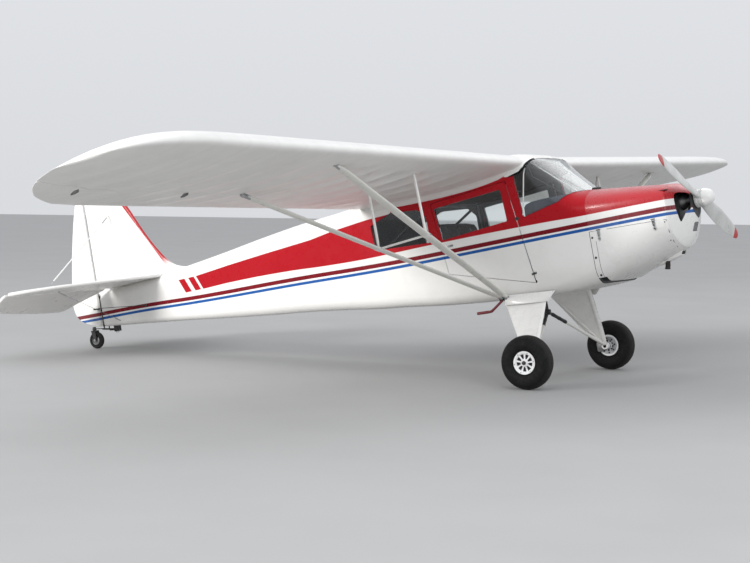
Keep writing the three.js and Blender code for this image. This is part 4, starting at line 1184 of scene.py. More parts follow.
baffles = Shape()
for side in (1, -1):
    inner, outer = sorted((side * 0.115, side * 0.37))
    baffles.prism(oblong((inner, -0.70), (outer, -0.50)), 0.945, 0.948, 0, "yz")
    tops = [(0.78, -0.468), (1.16, -0.475), (1.16, -0.48), (0.78, -0.473)]
    baffles.prism(tops, inner, outer, 0)
place(baffles.object("engine_baffles", engine_black), "airframe", "dark_metal")
firewall = Shape().loft([body_ring(495, 7), body_ring(500, 7)]).object("firewall_sheet", aluminium)
place(firewall, "airframe", "bare_metal")

# Propeller

HUB = Vector((1.304, 0, SHAFT_Z))
DOME_X = 1.3374
BLADE_ROWS = [
    # distance out, chord, thickness, angle
    (0, 60, 56, 38), (60, 66, 56, 37), (100, 84, 50, 32), (160, 104, 41, 26), (220, 122, 33, 22),
    (430, 150, 21, 15), (640, 136, 14, 11.5), (790, 100, 9.5, 9.5), (835, 78, 7.5, 9),
    (858, 52, 6, 9), (867, 30, 4.5, 9), (870, 10, 3, 9),
]
blade_table = smooth_table(BLADE_ROWS)
PROPELLER_TURN = math.radians(22.5)


def blade_form(shape, turn):
    out = Vector((0, math.cos(turn), math.sin(turn)))
    ahead = Vector(FORWARD)
    sweep = ahead.cross(out)
    rings = []
    places = steps_between(60, 835, 16) + [845, 852, 858, 863, 867, 869, 870]
    for distance in places:
        chord, thickness, degrees = blade_table(distance)
        angle = math.radians(degrees)
        along = sweep * math.cos(angle) + ahead * math.sin(angle)
        through = along.cross(out)
        flat = smooth((distance - 90) / 200)
        ring = []
        for a in around(28):
            across = math.cos(a)
            depth = math.sin(a)
            belly = depth * (1 - 0.75 * flat) if depth * through.x < 0 else depth * (1 + 0.25 * flat)
            nose = 1 + 0.35 * flat * across * (1 if sweep.dot(along) > 0 else -1)
            ring.append(HUB + out * distance * MM + along * (across * chord / 2 * MM)
                        + through * (belly * nose * thickness / 2 * MM))
        rings.append(ring)
    return shape.loft(rings)


screw = Shape()
blade_form(screw, math.pi - PROPELLER_TURN)
blade_form(screw, -PROPELLER_TURN)
screw.turned((1.272, 0, SHAFT_Z), FORWARD, [
    (0, 0), (0.070, 0), (0.076, 0.003), (0.076, 0.022), (0.072, 0.026), (0.072, 0.040),
    (0.076, 0.044), (0.076, 0.062), (0.070, 0.065), (0, 0.065)], 48)
for k in range(6):
    a = math.pi / 6 + k * math.pi / 3
    spot = Vector((1.268, 0.056 * math.cos(a), SHAFT_Z + 0.056 * math.sin(a)))
    head = [(0, -0.008), (0.009, -0.008), (0.0095, -0.006), (0.0095, 0.004)]
    screw.turned(spot, FORWARD, head, 6, 1)
silver_blades = blade_paint("blade_paint", SHAFT_Z, 0.775)
screw = screw.object("propeller_blades", silver_blades, steel, angle=38)
place(screw, "propeller", "bare_metal", "propeller")
dome = Shape().turned((DOME_X, 0, SHAFT_Z), FORWARD, [
    (0.0735, 0), (0.0740, 0.002), (0.0730, 0.014), (0.0690, 0.030), (0.0640, 0.045), (0.0580, 0.060),
    (0.0510, 0.071), (0.042, 0.079), (0.030, 0.085), (0.015, 0.0875), (0, 0.088)], 64)
for k in range(4):
    a = math.pi / 4 + k * math.pi / 2
    spot = Vector((DOME_X + 0.010, 0.0730 * math.cos(a), SHAFT_Z + 0.0730 * math.sin(a)))
    dome.turned(
        spot, (0, math.cos(a), math.sin(a)),
        [(0, -0.004), (0.004, -0.004), (0.0045, 0.0), (0.0035, 0.0012), (0, 0.0016)], 16, 1
    )
dome = dome.object("propeller_dome_shell", white, steel, angle=50)
place(dome, "propeller", "silver_paint", "propeller_dome")


# Wing

INCIDENCE, DIHEDRAL = math.radians(3), math.radians(1.05)
WING_FRONT, WING_REAR, ROOT_Y = -16, -1628, 500
PLANFORM = [
    (180, 0, WING_REAR), (1900, 0, WING_REAR), (4300, 0, WING_REAR), (4570, 0, -1600),
    (4890, -4, -1450),
    (5050, -22, -1335), (5200, -62, -1200), (5330, -135, -1040), (5420, -235, -885),
    (5470, -345, -775), (5486, -480, -640),
]


def airfoil(part):
    """Heights over and under the chord line, as shares of the chord."""
    series = 0.2969 * math.sqrt(part) - 0.126 * part - 0.3516 * part**2
    half = 0.6 * (series + 0.2843 * part**3 - 0.1015 * part**4)
    bend, lift = 0.2025, 15.957
    rear = lift / 6 * bend**3 * (1 - part)
    curve = part**3 - 3 * bend * part**2 + bend**2 * (3 - bend) * part
    camber = lift / 6 * curve if part < bend else rear
    return camber + half, camber - half


def chord_height(x, y):
    return WING_FRONT + (y - ROOT_Y) * math.tan(DIHEDRAL) + x * math.tan(INCIDENCE)


def planform_at(row):
    """The planform's y, leading edge and trailing edge at a place between its rows."""
    i = min(int(row), len(PLANFORM) - 2)
    t = row - i
    rows = [
        PLANFORM[max(i - 1, 0)], PLANFORM[i], PLANFORM[i + 1],
        PLANFORM[min(i + 2, len(PLANFORM) - 1)]
    ]
    if i < 3:
        return [a + (b - a) * t for a, b in zip(rows[1], rows[2])]
    out = []
    for before, start, end, after in zip(*rows):
        leave, arrive = (end - before) / 2, (after - start) / 2
        out.append(hermite(t, start, end, leave, arrive))
    return out


CHORD_PARTS = [(1 - math.cos(math.pi * i / 34)) / 2 for i in range(35)]
wing_rows = [planform_at(0), *[[y, 0, WING_REAR] for y in steps_between(300, 4290, 27.5)]]
for row in (2.0, *[2 + i / 6 for i in range(1, 6)], *[3 + i / 6 for i in range(43)]):
    wing_rows.append(planform_at(min(row, 10)))


def wing_ring(y, front, rear, shrink=1.0):
    chord = front - rear
    bay = ((y - RIB_START / MM) / (RIB_STEP / MM)) % 1
    hang = (1 - (2 * bay - 1) ** 2) * smooth((5250 - y) / 300) * smooth((y - 480) / 60)
    ring = []
    sides = [(part, 0) for part in CHORD_PARTS] + [(part, 1) for part in CHORD_PARTS[-2:0:-1]]
    for part, under in sides:
        height = airfoil(part)[under] * chord * shrink
        taut = smooth((part - 0.13) / 0.08) * smooth((0.985 - part) / 0.12)
        height += (10.5 if under else -4.5) * hang * taut
        x = front - part * chord
        ring.append(Vector((x * MM, y * MM, (chord_height(x, y) + height) * MM)))
    return ring


def wing_solid(name):
    rings = [wing_ring(*row) for row in wing_rows]
    y, front, rear = wing_rows[-1]
    middle = (front + rear) / 2
    for share in (0.8, 0.4):
        near, far = middle + (front - middle) * share, middle + (rear - middle) * share
        rings.append(wing_ring(y, near, far, 0.7))
    return Shape().loft(rings).object(name, wing_skin)


AILERON_X, AILERON_Z, AILERON_INNER, AILERON_OUTER = -1118, -64, 2750, 5294


def hinge_point(y):
    rise = (y - ROOT_Y) * math.tan(DIHEDRAL)
    return Vector((AILERON_X * MM, y * MM, (AILERON_Z + rise) * MM))


def aileron_zone(name, grow):
    """The aileron's room: its rounded nose and all behind the hinge line."""
    low, high = AILERON_INNER - grow, AILERON_OUTER + grow
    nose = Shape().tube([hinge_point(low), hinge_point(high)], (64 + grow) * MM, 48).object(name)
    rear = Shape().block((-1.8, low * MM, -0.5), (AILERON_X * MM, high * MM, 0.5)).object("zone_rear")
    return combine(nose, rear, "UNION")


wing = wing_solid("wing_skin_left")
aileron = copy_of(wing, "aileron_skin_left")
combine(wing, body_form, "DIFFERENCE", keep=True)
combine(wing, aileron_zone("aileron_room", 7), "DIFFERENCE")
combine(aileron, aileron_zone("aileron_zone", 0), "INTERSECT")
for made in (wing, aileron):
    soften(made, 40)
place_pair(wing, "airframe", "white_fabric", "wing")
place_pair(aileron, "aileron", "white_fabric", "aileron")


def underside(x, y):
    """Height of the wing's underside in metres, at millimetres x and y on its straight part."""
    part = clamp(x / WING_REAR)
    return (chord_height(x, y) + airfoil(part)[1] * -WING_REAR) * MM


# Lift struts with their fittings, and the jury struts

FRONT_STRUT = (Vector((-0.336, 0.489, -1.110)), Vector((-0.214, 3.145, -0.020)), 0.036, 0.015)
REAR_STRUT = (Vector((-0.372, 0.489, -1.110)), Vector((-1.026, 3.138, -0.084)), 0.029, 0.0125)


def strut(name, foot, head, chord, thick):
    length = (head - foot).length
    path, sizes = [], []
    for along, share in ((0, 0.38), (0.02, 0.42), (0.06, 0.62), (0.11, 0.88), (0.15, 1), (0.5, 1)):
        path.append(foot.lerp(head, along / length if along < 0.5 else 0.5))
        sizes.append((chord * share, thick * (1 if share == 1 else 0.8 + 0.2 * share)))
    count = len(path) - 1
    for i in range(count):
        source = count - 1 - i
        path.append(head.lerp(foot, (path[source] - foot).length / length))
        sizes.append(sizes[source])
    shape = Shape().tube(path, sizes, 36, deep=FORWARD)
    along = (head - foot).normalized()
    for end, way in ((foot, 1), (head, -1)):
        shape.turned(end + along * way * 0.022, FORWARD, plug(0.009, -0.026, 0.026), 6, 1)
        fitting = [end - along * way * 0.015, end + along * way * 0.07]
        shape.tube(fitting, [(0.014, 0.017), (0.016, 0.0175)], 16, 1, deep=FORWARD)
    return shape.object(name, cream, steel)


front = strut("front_strut_tube_left", *FRONT_STRUT)
rear = strut("rear_strut_tube_left", *REAR_STRUT)
place_pair(front, "airframe", "silver_paint", "front_strut")
place_pair(rear, "airframe", "silver_paint", "rear_strut")


def on_strut(line, y):
    """A point on a strut's middle line, at its y."""
    foot, head = line[:2]
    return foot.lerp(head, (y - foot.y) / (head.y - foot.y))


JURY_Y = 1.850
JURY_FRONT, JURY_REAR = -0.290, -0.712
jury = Shape()
front_clamp, rear_clamp = on_strut(FRONT_STRUT, JURY_Y), on_strut(REAR_STRUT, JURY_Y)
tops = [Vector((x, JURY_Y, underside(x / MM, JURY_Y / MM))) for x in (JURY_FRONT, JURY_REAR)]
for start, end in ((front_clamp, tops[0]), (rear_clamp, tops[1])):
    jury.tube([start, start.lerp(end, 0.04), start.lerp(end, 0.1), start.lerp(end, 0.9), end],
              [(0.008, 0.004), (0.009, 0.005), (0.0115, 0.0085), (0.0115, 0.0085), (0.009, 0.006)],
              16, deep=FORWARD)
jury.tube([front_clamp, rear_clamp], [(0.0105, 0.0085)] * 2, 16, deep=(0, 1, 0.4))
for (foot, head, chord, thick), point in ((FRONT_STRUT, front_clamp), (REAR_STRUT, rear_clamp)):
    along = (head - foot).normalized()
    sleeve = [(chord + 0.0025, thick + 0.0025)] * 2
    jury.tube([point - along * 0.022, point + along * 0.022], sleeve, 32, 0, deep=FORWARD)
    for dx in (chord + 0.004, -chord - 0.004):
        spot = point + Vector((dx, 0, 0))
        jury.tube([spot - along * 0.012, spot + along * 0.012], 0.005, 8, 1)
for top in tops:
    jury.block(top - Vector((0.02, 0.02, 0.003)), top + Vector((0.02, 0.02, 0.002)), 0)
jury = jury.object("jury_strut_tubes_left", white, steel)
place_pair(jury, "airframe", "silver_paint", "jury_struts")

# Main legs in their cloth fairings

LEG_X, LEG_Z = -0.064, -1.662
LEG_SIDES = (440, 748)
FAIRING = [
    # front x, rear x, y, z, thickness
    (22, -398, 440, -1100, 60), (12, -333, 520, -1228, 56), (-4, -272, 598, -1359, 48),
    (-20, -206, 676, -1490, 42), (-38, -110, 748, -1612, 38),
]
fairing_table = smooth_table([(y, front, rear, z, thick) for front, rear, y, z, thick in FAIRING])
leg = Shape()
outward = Vector((0, 390, 236)).normalized()
rings = []
for y in steps_between(*LEG_SIDES, 11):
    front_x, rear_x, z, thick = fairing_table(y)
    middle, half = (front_x + rear_x) / 2, (front_x - rear_x) / 2
    ring = []
    for a in around(44):
        across = math.copysign(abs(math.cos(a)) ** 0.85, math.cos(a))
        depth = math.copysign(abs(math.sin(a)) ** 1.15, math.sin(a)) * (0.62 + 0.38 * across**4)
        centre = Vector((middle + across * half, y, z)) * MM
        ring.append(centre + outward * depth * thick / 2 * MM)
    rings.append(ring)
leg.loft(rings)
axle_top = Vector((LEG_X, 0.772, LEG_Z + 0.008))
leg.tube([(0.000, 0.440, -1.110), axle_top], 0.018, 20, 0)
leg.tube([(-0.380, 0.440, -1.100), axle_top], 0.0155, 20, 0)
leg.tube([(LEG_X, 0.752, LEG_Z), (LEG_X, 0.80, LEG_Z)], [0.030, 0.033], 28, 0)
leg.tube([(LEG_X, 0.798, LEG_Z), (LEG_X, 0.812, LEG_Z)], [0.034, 0.034], 28, 1)
leg.tube([(LEG_X, 0.752, LEG_Z), (LEG_X, 0.962, LEG_Z)], 0.0158, 24, 1)
leg = leg.object("main_leg_skin_left", white, steel, angle=50)
place_pair(leg, "airframe", "white_paint", "main_leg")

# Cover plate over the top of each leg, with its row of screws
PLATE_REAR, PLATE_FRONT = Vector((-0.345, 0.503, -1.088)), Vector((0.112, 0.503, -1.121))
top_edge, low_edge = [], []
for i in range(25):
    t = i / 24
    curl = 0.026 * abs(2 * t - 1) ** 3
    top_edge.append(PLATE_REAR.lerp(PLATE_FRONT, t))
    low_edge.append(Vector((-0.357 + 0.400 * t, 0.534 - curl, -1.168 - 0.030 * t)))
middle_edge = [p.lerp(q, 0.5) + Vector((0, 0.012, 0)) for p, q in zip(top_edge, low_edge)]
loops = []
for edge in (top_edge, middle_edge, low_edge):
    loops.append(edge + [p + Vector((0, -0.004, 0.002)) for p in reversed(edge)])
plate = Shape().loft(loops)
SCREW_HEAD = [(0, -0.003), (0.0055, -0.003), (0.0055, 0.0012), (0.004, 0.0024), (0, 0.0028)]
for i in range(6):
    spot = PLATE_REAR.lerp(PLATE_FRONT, 0.05 + i * 0.18) + Vector((0, 0.0015, -0.011))
    plate.turned(spot, (0, 1, 0.1), SCREW_HEAD, 12, 1)
plate = plate.object("leg_cover_plate_left", white, engine_metal, angle=50)
place_pair(plate, "airframe", "white_paint")

# Vee of tubes under the belly, and the shock struts

CABANE_TIP = Vector((-0.216, 0, -1.283))
cabane = Shape()
for foot in ((-0.242, 0.046, -1.125), (-0.242, -0.046, -1.125)):
    cabane.tube([CABANE_TIP, foot], [(0.015, 0.0115)] * 2, 20, deep=FORWARD)
cabane.tube([CABANE_TIP + Vector((0.026, 0, 0)), CABANE_TIP - Vector((0.026, 0, 0))], 0.0238, 28)
cabane.tube([CABANE_TIP + Vector((0.034, 0, 0)), CABANE_TIP - Vector((0.034, 0, 0))], 0.010, 6, 1)
cabane = cabane.object("cabane_tubes", black, steel)
place(cabane, "airframe", "black_paint", "cabane")
shock_top = CABANE_TIP + Vector((0.009, 0.052, -0.018))
shock_foot = Vector((LEG_X, 0.765, LEG_Z + 0.012))
middle = shock_top.lerp(shock_foot, 0.27)
shock = Shape()
cover = [
    shock_top, *[shock_top.lerp(middle, share) for share in (0.02, 0.06, 0.94, 0.98)], middle,
]
shock.tube(cover, [0.011, 0.0140, 0.0152, 0.0152, 0.0140, 0.0115], 28, 0)
shock.tube([CABANE_TIP.lerp(shock_top, 0.42), shock_top.lerp(middle, 0.05)], 0.0115, 16, 0)
shock.tube([middle.lerp(shock_top, 0.03), shock_foot.lerp(middle, 0.04)], 0.0138, 20, 1)
along = (middle - shock_top).normalized()
for t in (0.12, 0.5, 0.88):
    spot = shock_top.lerp(middle, t)
    shock.tube([spot - along * 0.008, spot + along * 0.008], 0.0165, 28, 2)
shock = shock.object("shock_strut_tubes_left", black, cream, engine_black)
place_pair(shock, "airframe", "black_paint", "shock_strut")
HOSE = [
    (-0.330, 0.470, -1.120), (-0.322, 0.520, -1.235), (-0.262, 0.595, -1.362), (-0.196, 0.672, -1.492),
    (-0.120, 0.735, -1.600), (-0.095, 0.770, -1.640),
]
hose = Shape().tube([Vector(p) + Vector((0.012, -0.016, -0.012)) for p in HOSE], 0.0028, 10)
place_pair(hose.object("brake_line_left", cream), "airframe", "tyre_rubber")

# Boarding steps
STEP = [
    Vector((-0.375, 0.478, -1.112)), Vector((-0.475, 0.545, -1.200)),
    Vector((-0.605, 0.560, -1.196))
]
ladder = Shape()
bend = [
    STEP[0], STEP[0].lerp(STEP[1], 0.8), STEP[1] + Vector((0, 0, 0.002)),
    STEP[1].lerp(STEP[2], 0.15), STEP[2]
]
ladder.tube(bend, [0.0105, 0.0105, 0.012, 0.0115, 0.0105], 20, 0)
tread = [STEP[1].lerp(STEP[2], 0.2), STEP[1].lerp(STEP[2], 0.95)]
ladder.tube(tread, [0.0128, 0.0128], 20, 0)
ladder = ladder.object("boarding_step_left", maroon)
place_pair(ladder, "airframe", "step_paint", "step")

# Wheels

WHEEL = Vector((LEG_X, 0.900, LEG_Z))
TYRE_RADIUS, TYRE_HALF = 0.222, 0.079
BEAD_RADIUS = 0.150
tyre_profile = []
for a in around(64):
    c, s = math.cos(a), math.sin(a)
    radius = BEAD_RADIUS + c * 0.0718
    across = math.copysign(abs(s) ** 0.82, s) * TYRE_HALF
    if c > 0.55:
        groove = abs(math.sin(across * 230))
        radius -= 0.0035 * smooth((groove - 0.86) / 0.1) * smooth((c - 0.55) / 0.1)
    tyre_profile.append((radius, across))
tyre_profile.append(tyre_profile[0])
tyre = Shape().turned(WHEEL, PORT, tyre_profile, 96, 0)
for side in (1, -1):
    for reach, rise in ((0.184, 0.0712), (0.128, 0.0745)):
        low = side * (rise - 0.004)
        tyre.turned(WHEEL, PORT, [(reach - 0.003, low), (reach, side * rise), (reach + 0.003, low)], 96)
worn = rubber("tyre_rubber", (LEG_X, LEG_Z, TYRE_RADIUS))
tyre = tyre.object("tyre_rubber_left", worn, angle=30)
place_pair(tyre, "wheel", "tyre_rubber", "tyre")
# Each wheel half is a turned casting with nine slots, over a dark barrel
FACE = [
    (0.0165, 0.046), (0.0165, 0.066), (0.024, 0.068), (0.030, 0.064), (0.034, 0.057), (0.040, 0.054),
    (0.070, 0.054), (0.075, 0.0595), (0.080, 0.0635), (0.088, 0.0650), (0.094, 0.0645), (0.0955, 0.060),
    (0.090, 0.050), (0.074, 0.047), (0.040, 0.046), (0.0165, 0.046),
]


# One slot's corners: distance from the axle, and angle from the slot's middle
SLOT = [
    (0.031, 0.16), (0.050, 0.235), (0.072, 0.225), (0.072, -0.225), (0.050, -0.235), (0.031, -0.16),
]


def hub_half(name, side):
    half = Shape().turned(WHEEL, PORT, [(r, a * side) for r, a in FACE], 90).object(name)
    slots = Shape()
    for k in range(9):
        a = 2 * math.pi * (k + 0.5) / 9
        outline = []
        for radius, turn in SLOT:
            x, z = radius * math.cos(a + turn), radius * math.sin(a + turn)
            outline.append((WHEEL.x + x, WHEEL.z + z))
        outline = rounded(outline, 0.004, 3)
        slots.prism(outline, WHEEL.y + side * 0.040, WHEEL.y + side * 0.075)
    return combine(half, slots.object("slots"), "DIFFERENCE")


hub_pieces = [hub_half("hub_casting_left", 1), hub_half("hub_inner_left", -1)]
for piece in hub_pieces:
    for material in (aluminium, engine_black, steel):
        piece.data.materials.append(material)
hub = Shape()
hub.turned(WHEEL, PORT, [(0.0155, -0.036), (0.077, -0.036), (0.077, 0.036), (0.0155, 0.036)], 72, 1)
for side in (1, -1):
    hub.turned(WHEEL, PORT, [(0.074, 0.048 * side), (0.0775, 0.050 * side), (0.0775, 0.0)], 72, 0)
for a in around(6):
    spot = WHEEL + Vector((0.084 * math.cos(a), 0.064, 0.084 * math.sin(a)))
    bolt = [(0, -0.002), (0.0045, -0.002), (0.0045, 0.0035), (0.0035, 0.0045), (0, 0.0045)]
    hub.turned(spot, PORT, bolt, 6, 2)
cap = [(0, 0.0790), (0.010, 0.0785), (0.0145, 0.0765), (0.0162, 0.072), (0.0162, 0.062), (0.0, 0.062)]
hub.turned(WHEEL, PORT, cap, 40, 1)
disc = [(0.050, -0.003), (0.078, -0.003), (0.078, 0.003), (0.050, 0.003), (0.050, -0.003)]
hub.turned(WHEEL + Vector((0, -0.067, 0)), PORT, disc, 60, 2)
NUT = [(0.009, -0.002), (0.009, 0.0), (0.006, 0.001), (0.006, 0.005), (0, 0.006)]
for a in around(8):
    spot = WHEEL + Vector((0.063 * math.cos(a), -0.070, 0.063 * math.sin(a)))
    hub.turned(spot, (0, -1, 0), NUT, 6, 1)
hub = hub.object("hub_core_left", aluminium, engine_black, steel, angle=35)
for piece, nodes in ((hub_pieces[0], ["hub"]), (hub_pieces[1], []), (hub, [])):
    soften(piece, 35)
    place_pair(piece, "wheel", "bare_metal", *nodes)
caliper = Shape()
housing = oblong((LEG_X - 0.098, LEG_Z - 0.045), (LEG_X - 0.040, LEG_Z + 0.045))
caliper.prism(rounded(housing, 0.016, 4), 0.806, 0.8265, 0)
arm = [(LEG_X - 0.09, LEG_Z - 0.02), (LEG_X, LEG_Z - 0.03), (LEG_X, LEG_Z + 0.03),
       (LEG_X - 0.09, LEG_Z + 0.02)]
caliper.prism(rounded(arm, 0.01, 3), 0.800, 0.806, 0)
caliper = caliper.object("brake_caliper_left", engine_metal)
bevel(caliper, 0.002, 2)
place_pair(caliper, "airframe", "dark_metal")


# Tail surfaces: cloth over a frame of tubes, with round edges and a hollow between the ribs

RUDDER_X = -5045
ELEVATOR_X, TAIL_Z, DROOP = -4880, -270, math.radians(20)
# Half the thickness of the fixed surfaces, the radius of their edges and the cloth's sag
TAIL_HALF, EDGE, HANG = 17, 15.0, 3.5
# Each hinge knuckle's half height on the fixed surface, and the pair round it on the moving one
KNUCKLE = 13
KNUCKLE_PAIR = ((-34, -13.4), (13.4, 34))
PIN = 0.006
FIN_HINGES, TAIL_HINGES = (60, 560), (460, 1220)


def rim_share(part):
    """The share of the full thickness at this part of the way in from a round rim."""
    return math.sqrt(clamp(1 - (1 - clamp(part)) ** 2))


def panel_form(shape, spans, edges, ribs, at, half=TAIL_HALF, caps=(True, True)):
    """A thin surface in strips: at each span, its front and rear edge. at(x, span, offset) gives
    a point; ribs are the spans where the cloth stands on a tube."""
    rings = []
    first, last = spans[0], spans[-1]
    for span in spans:
        front, rear = edges(span)
        round_off = 1.0
        if caps[0]:
            round_off = min(round_off, rim_share(abs(span - first) / EDGE))
        if caps[1]:
            round_off = min(round_off, rim_share(abs(last - span) / EDGE))
        thick = half * max(round_off, 0.08)
        near = min(abs(span - rib) for rib in ribs)
        sag = HANG * smooth(near / 70)
        chord = front - rear
        reach = min(EDGE, chord * 0.45)
        marks = [reach * (1 - math.cos(math.pi / 2 * i / 6)) for i in range(7)]
        inner = steps_between(reach, chord - reach, 45)[1:-1]
        places = marks + inner + [chord - m for m in marks[::-1]]
        upper, lower = [], []
        for place_on in places:
            side = min(place_on, chord - place_on)
            depth = thick * rim_share(side / reach) - sag * smooth((side - 28) / 60) * round_off
            x = front - place_on
            upper.append(at(x, span, max(depth, 0.4)))
            lower.append(at(x, span, -max(depth, 0.4)))
        rings.append((upper, lower))
    count = max(len(upper) for upper, _ in rings)

    def resample(points):
        lengths = [0.0]
        for a, b in zip(points, points[1:]):
            lengths.append(lengths[-1] + (b - a).length)
        out, k = [], 0
        total = lengths[-1]
        marks = [0.5 - 0.5 * math.cos(math.pi * i / (count - 1)) for i in range(count)]
        marks = [0.55 * i / (count - 1) + 0.45 * m for i, m in enumerate(marks)]
        for mark in marks:
            target = total * mark
            while k < len(lengths) - 2 and lengths[k + 1] < target:
                k += 1
            part = (target - lengths[k]) / max(lengths[k + 1] - lengths[k], 1e-9)
            out.append(points[k].lerp(points[k + 1], clamp(part)))
        return out

    loops = [resample(upper) + resample(lower)[::-1] for upper, lower in rings]
    return shape.loft(loops)


def outline_edges(front_rows, rear_rows):
    """Front and rear edge at each span, from smooth tables of span and x."""
    front_at, rear_at = smooth_table(front_rows), smooth_table(rear_rows)
    return lambda span: (front_at(span)[0], rear_at(span)[0])


def on_fin(x, span, offset):
    return Vector((x * MM, offset * MM, span * MM))


def on_tailplane(x, span, offset):
    return Vector((x * MM, span * MM, (TAIL_Z + offset) * MM))


fin_edges = outline_edges(
    [
        (-330, -3790), (-262, -3800), (-236, -3850), (-226, -3925), (-205, -3998), (-190, -4036),
        (-126, -4123), (-32, -4203), (106, -4300), (264, -4393), (499, -4522), (655, -4632),
        (735, -4722), (775, -4830), (792, -4960),
    ],
    [(-330, RUDDER_X + 7), (792, RUDDER_X + 7)],
)
fin = Shape()
fin_spans = steps_between(-330, -180, 6) + steps_between(-170, 770, 20) + [
    775, 779, 783, 786.5, 789, 791, 792
]
panel_form(fin, fin_spans, fin_edges, (-330, -120, 100, 320, 540, 740), on_fin, caps=(False, True))



def rudder_knuckle(shape, low, high, reach):
    """A hinge tube on the rudder's line between two heights, and its lug fore or aft of it."""
    low, high = low * MM, high * MM
    shape.tube([(RUDDER_X * MM, 0, low), (RUDDER_X * MM, 0, high)], PIN, 16, 1)
    near, far = sorted((RUDDER_X * MM, (RUDDER_X + reach) * MM))
    shape.block((near, -0.004, low), (far, 0.004, high), 1)


for place_z in FIN_HINGES:
    rudder_knuckle(fin, place_z - KNUCKLE, place_z + KNUCKLE, 20)
fin = fin.object("fin_skin", fin_skin, steel, angle=50)
place(fin, "airframe", "white_fabric", "fin")
rudder_edges = outline_edges(
    [(-637, RUDDER_X - 15), (790, RUDDER_X - 15)],
    [
        (-637, -5085), (-628, -5125), (-612, -5180), (-590, -5240), (-532, -5334), (-460, -5378),
        (-365, -5392), (-146, -5357), (183, -5287), (526, -5190), (640, -5150), (745, -5105),
        (780, -5082), (790, -5070),
    ],
)
rudder = Shape()
rudder_spans = [
    -637, -636.5, -635, -632, -628, -622, *steps_between(-612, 745, 20), 756, 766, 774, 780, 784,
    787.5, 789.5, 790
]
panel_form(
    rudder, rudder_spans, rudder_edges, (-620, -400, -160, 100, 320, 540, 740), on_fin, half=16,
    caps=(True, True)
)
for place_z in (-560, *FIN_HINGES):
    for low, high in KNUCKLE_PAIR:
        rudder_knuckle(rudder, place_z + low, place_z + high, -26)
horn = rounded(
    [(-0.012, -0.085), (0.012, -0.085), (0.020, 0.0), (0.012, 0.085), (-0.012, 0.085), (-0.020, 0.0)],
    0.006, 3
)
horn_z = -0.462
rudder.prism([(RUDDER_X * MM - 0.022 + a, b) for a, b in horn], horn_z - 0.006, horn_z + 0.006, 2, "xy")
rudder = rudder.object("rudder_skin", tail_skin, steel, engine_black, angle=50)
place(rudder, "rudder", "white_fabric", "rudder")

tail_edges = outline_edges(
    [(24, -4128), (120, -4140), (380, -4214), (620, -4290), (1000, -4430), (1260, -4560), (1430, -4700),
     (1500, -4800), (1526, -4850)],
    [(24, ELEVATOR_X + 18), (1526, ELEVATOR_X + 18)],
)
stabiliser = Shape()
stab_spans = steps_between(24, 1480, 20) + [1492, 1503, 1511, 1517, 1521.5, 1524.5, 1526]
panel_form(
    stabiliser, stab_spans, tail_edges, (24, 180, 460, 740, 1010, 1260, 1480), on_tailplane,
    caps=(False, True)
)
for place_y in TAIL_HINGES:
    low, high = (place_y - KNUCKLE) * MM, (place_y + KNUCKLE) * MM
    ends = [(ELEVATOR_X * MM, y, TAIL_Z * MM) for y in (low, high)]
    stabiliser.tube(ends, PIN, 16, 1)
    lug_end = (ELEVATOR_X + 30) * MM
    stabiliser.block((ELEVATOR_X * MM, low, (TAIL_Z - 4) * MM), (lug_end, high, (TAIL_Z + 4) * MM), 1)
stabiliser = stabiliser.object("stabiliser_skin_left", tail_skin, steel, angle=50)
place_pair(stabiliser, "airframe", "white_fabric", "stabiliser")


def drooped(x, y, z):
    """A point of the elevator, given in millimetres as if level, turned down about its hinge."""
    arm = Vector((x, y, z)) * MM - Vector((ELEVATOR_X, 0, TAIL_Z)) * MM
    turn = Matrix.Rotation(-DROOP, 3, "Y")
    return turn @ arm + Vector((ELEVATOR_X, 0, TAIL_Z)) * MM


elevator_edges = outline_edges(
    [(76, ELEVATOR_X - 16), (1528, ELEVATOR_X - 16)],
    [
        (76, -4925), (120, -4990), (200, -5126), (320, -5343), (560, -5335), (1000, -5290),
        (1160, -5268), (1330, -5220), (1430, -5140), (1500, -5020), (1528, -4930),
    ],
)
elevator = Shape()
lift_spans = [
    76, 76.6, 78, 81, 85, 90, *steps_between(98, 1480, 20), 1492, 1503, 1512, 1519, 1524, 1527,
    1528
]
for side in (1, -1):
    def on_elevator(x, span, offset, side=side):
        return drooped(x, span * side, TAIL_Z + offset)
    panel_form(
        elevator, lift_spans, elevator_edges, (76, 280, 460, 740, 1010, 1240, 1480), on_elevator,
        half=15, caps=(True, True)
    )
    for place_y in TAIL_HINGES:
        for pair in KNUCKLE_PAIR:
            ends = [drooped(ELEVATOR_X, side * (place_y + d), TAIL_Z) for d in pair]
            elevator.tube(ends, PIN, 16, 1)
            arms = [drooped(ELEVATOR_X - 14, side * (place_y + d), TAIL_Z) for d in pair]
            chord_way = (math.cos(DROOP), 0, math.sin(DROOP))
            elevator.tube(arms, [(0.016, 0.004)] * 2, 12, 1, deep=chord_way)
elevator.tube([(ELEVATOR_X * MM, y, TAIL_Z * MM) for y in (-0.110, 0.110)], 0.0115, 20, 1)
for side in (1, -1):
    lug = [drooped(x, side * 96, TAIL_Z) for x in (ELEVATOR_X, ELEVATOR_X - 24)]
    elevator.tube(lug, 0.0095, 12, 1)
elevator = elevator.object("elevator_skin", tail_skin, steel, angle=50)
place(elevator, "elevator", "white_fabric", "elevator")

# Brace wires with their turnbuckles
wires = Shape()
BRACE_TOP = Vector((-4.800, 1.055, -0.2535))


def brace_bolt(rise):
    """A place on the bolt through the stabiliser, so many millimetres over its middle."""
    return Vector((-4.760, 0.930, (TAIL_Z + rise) * MM))


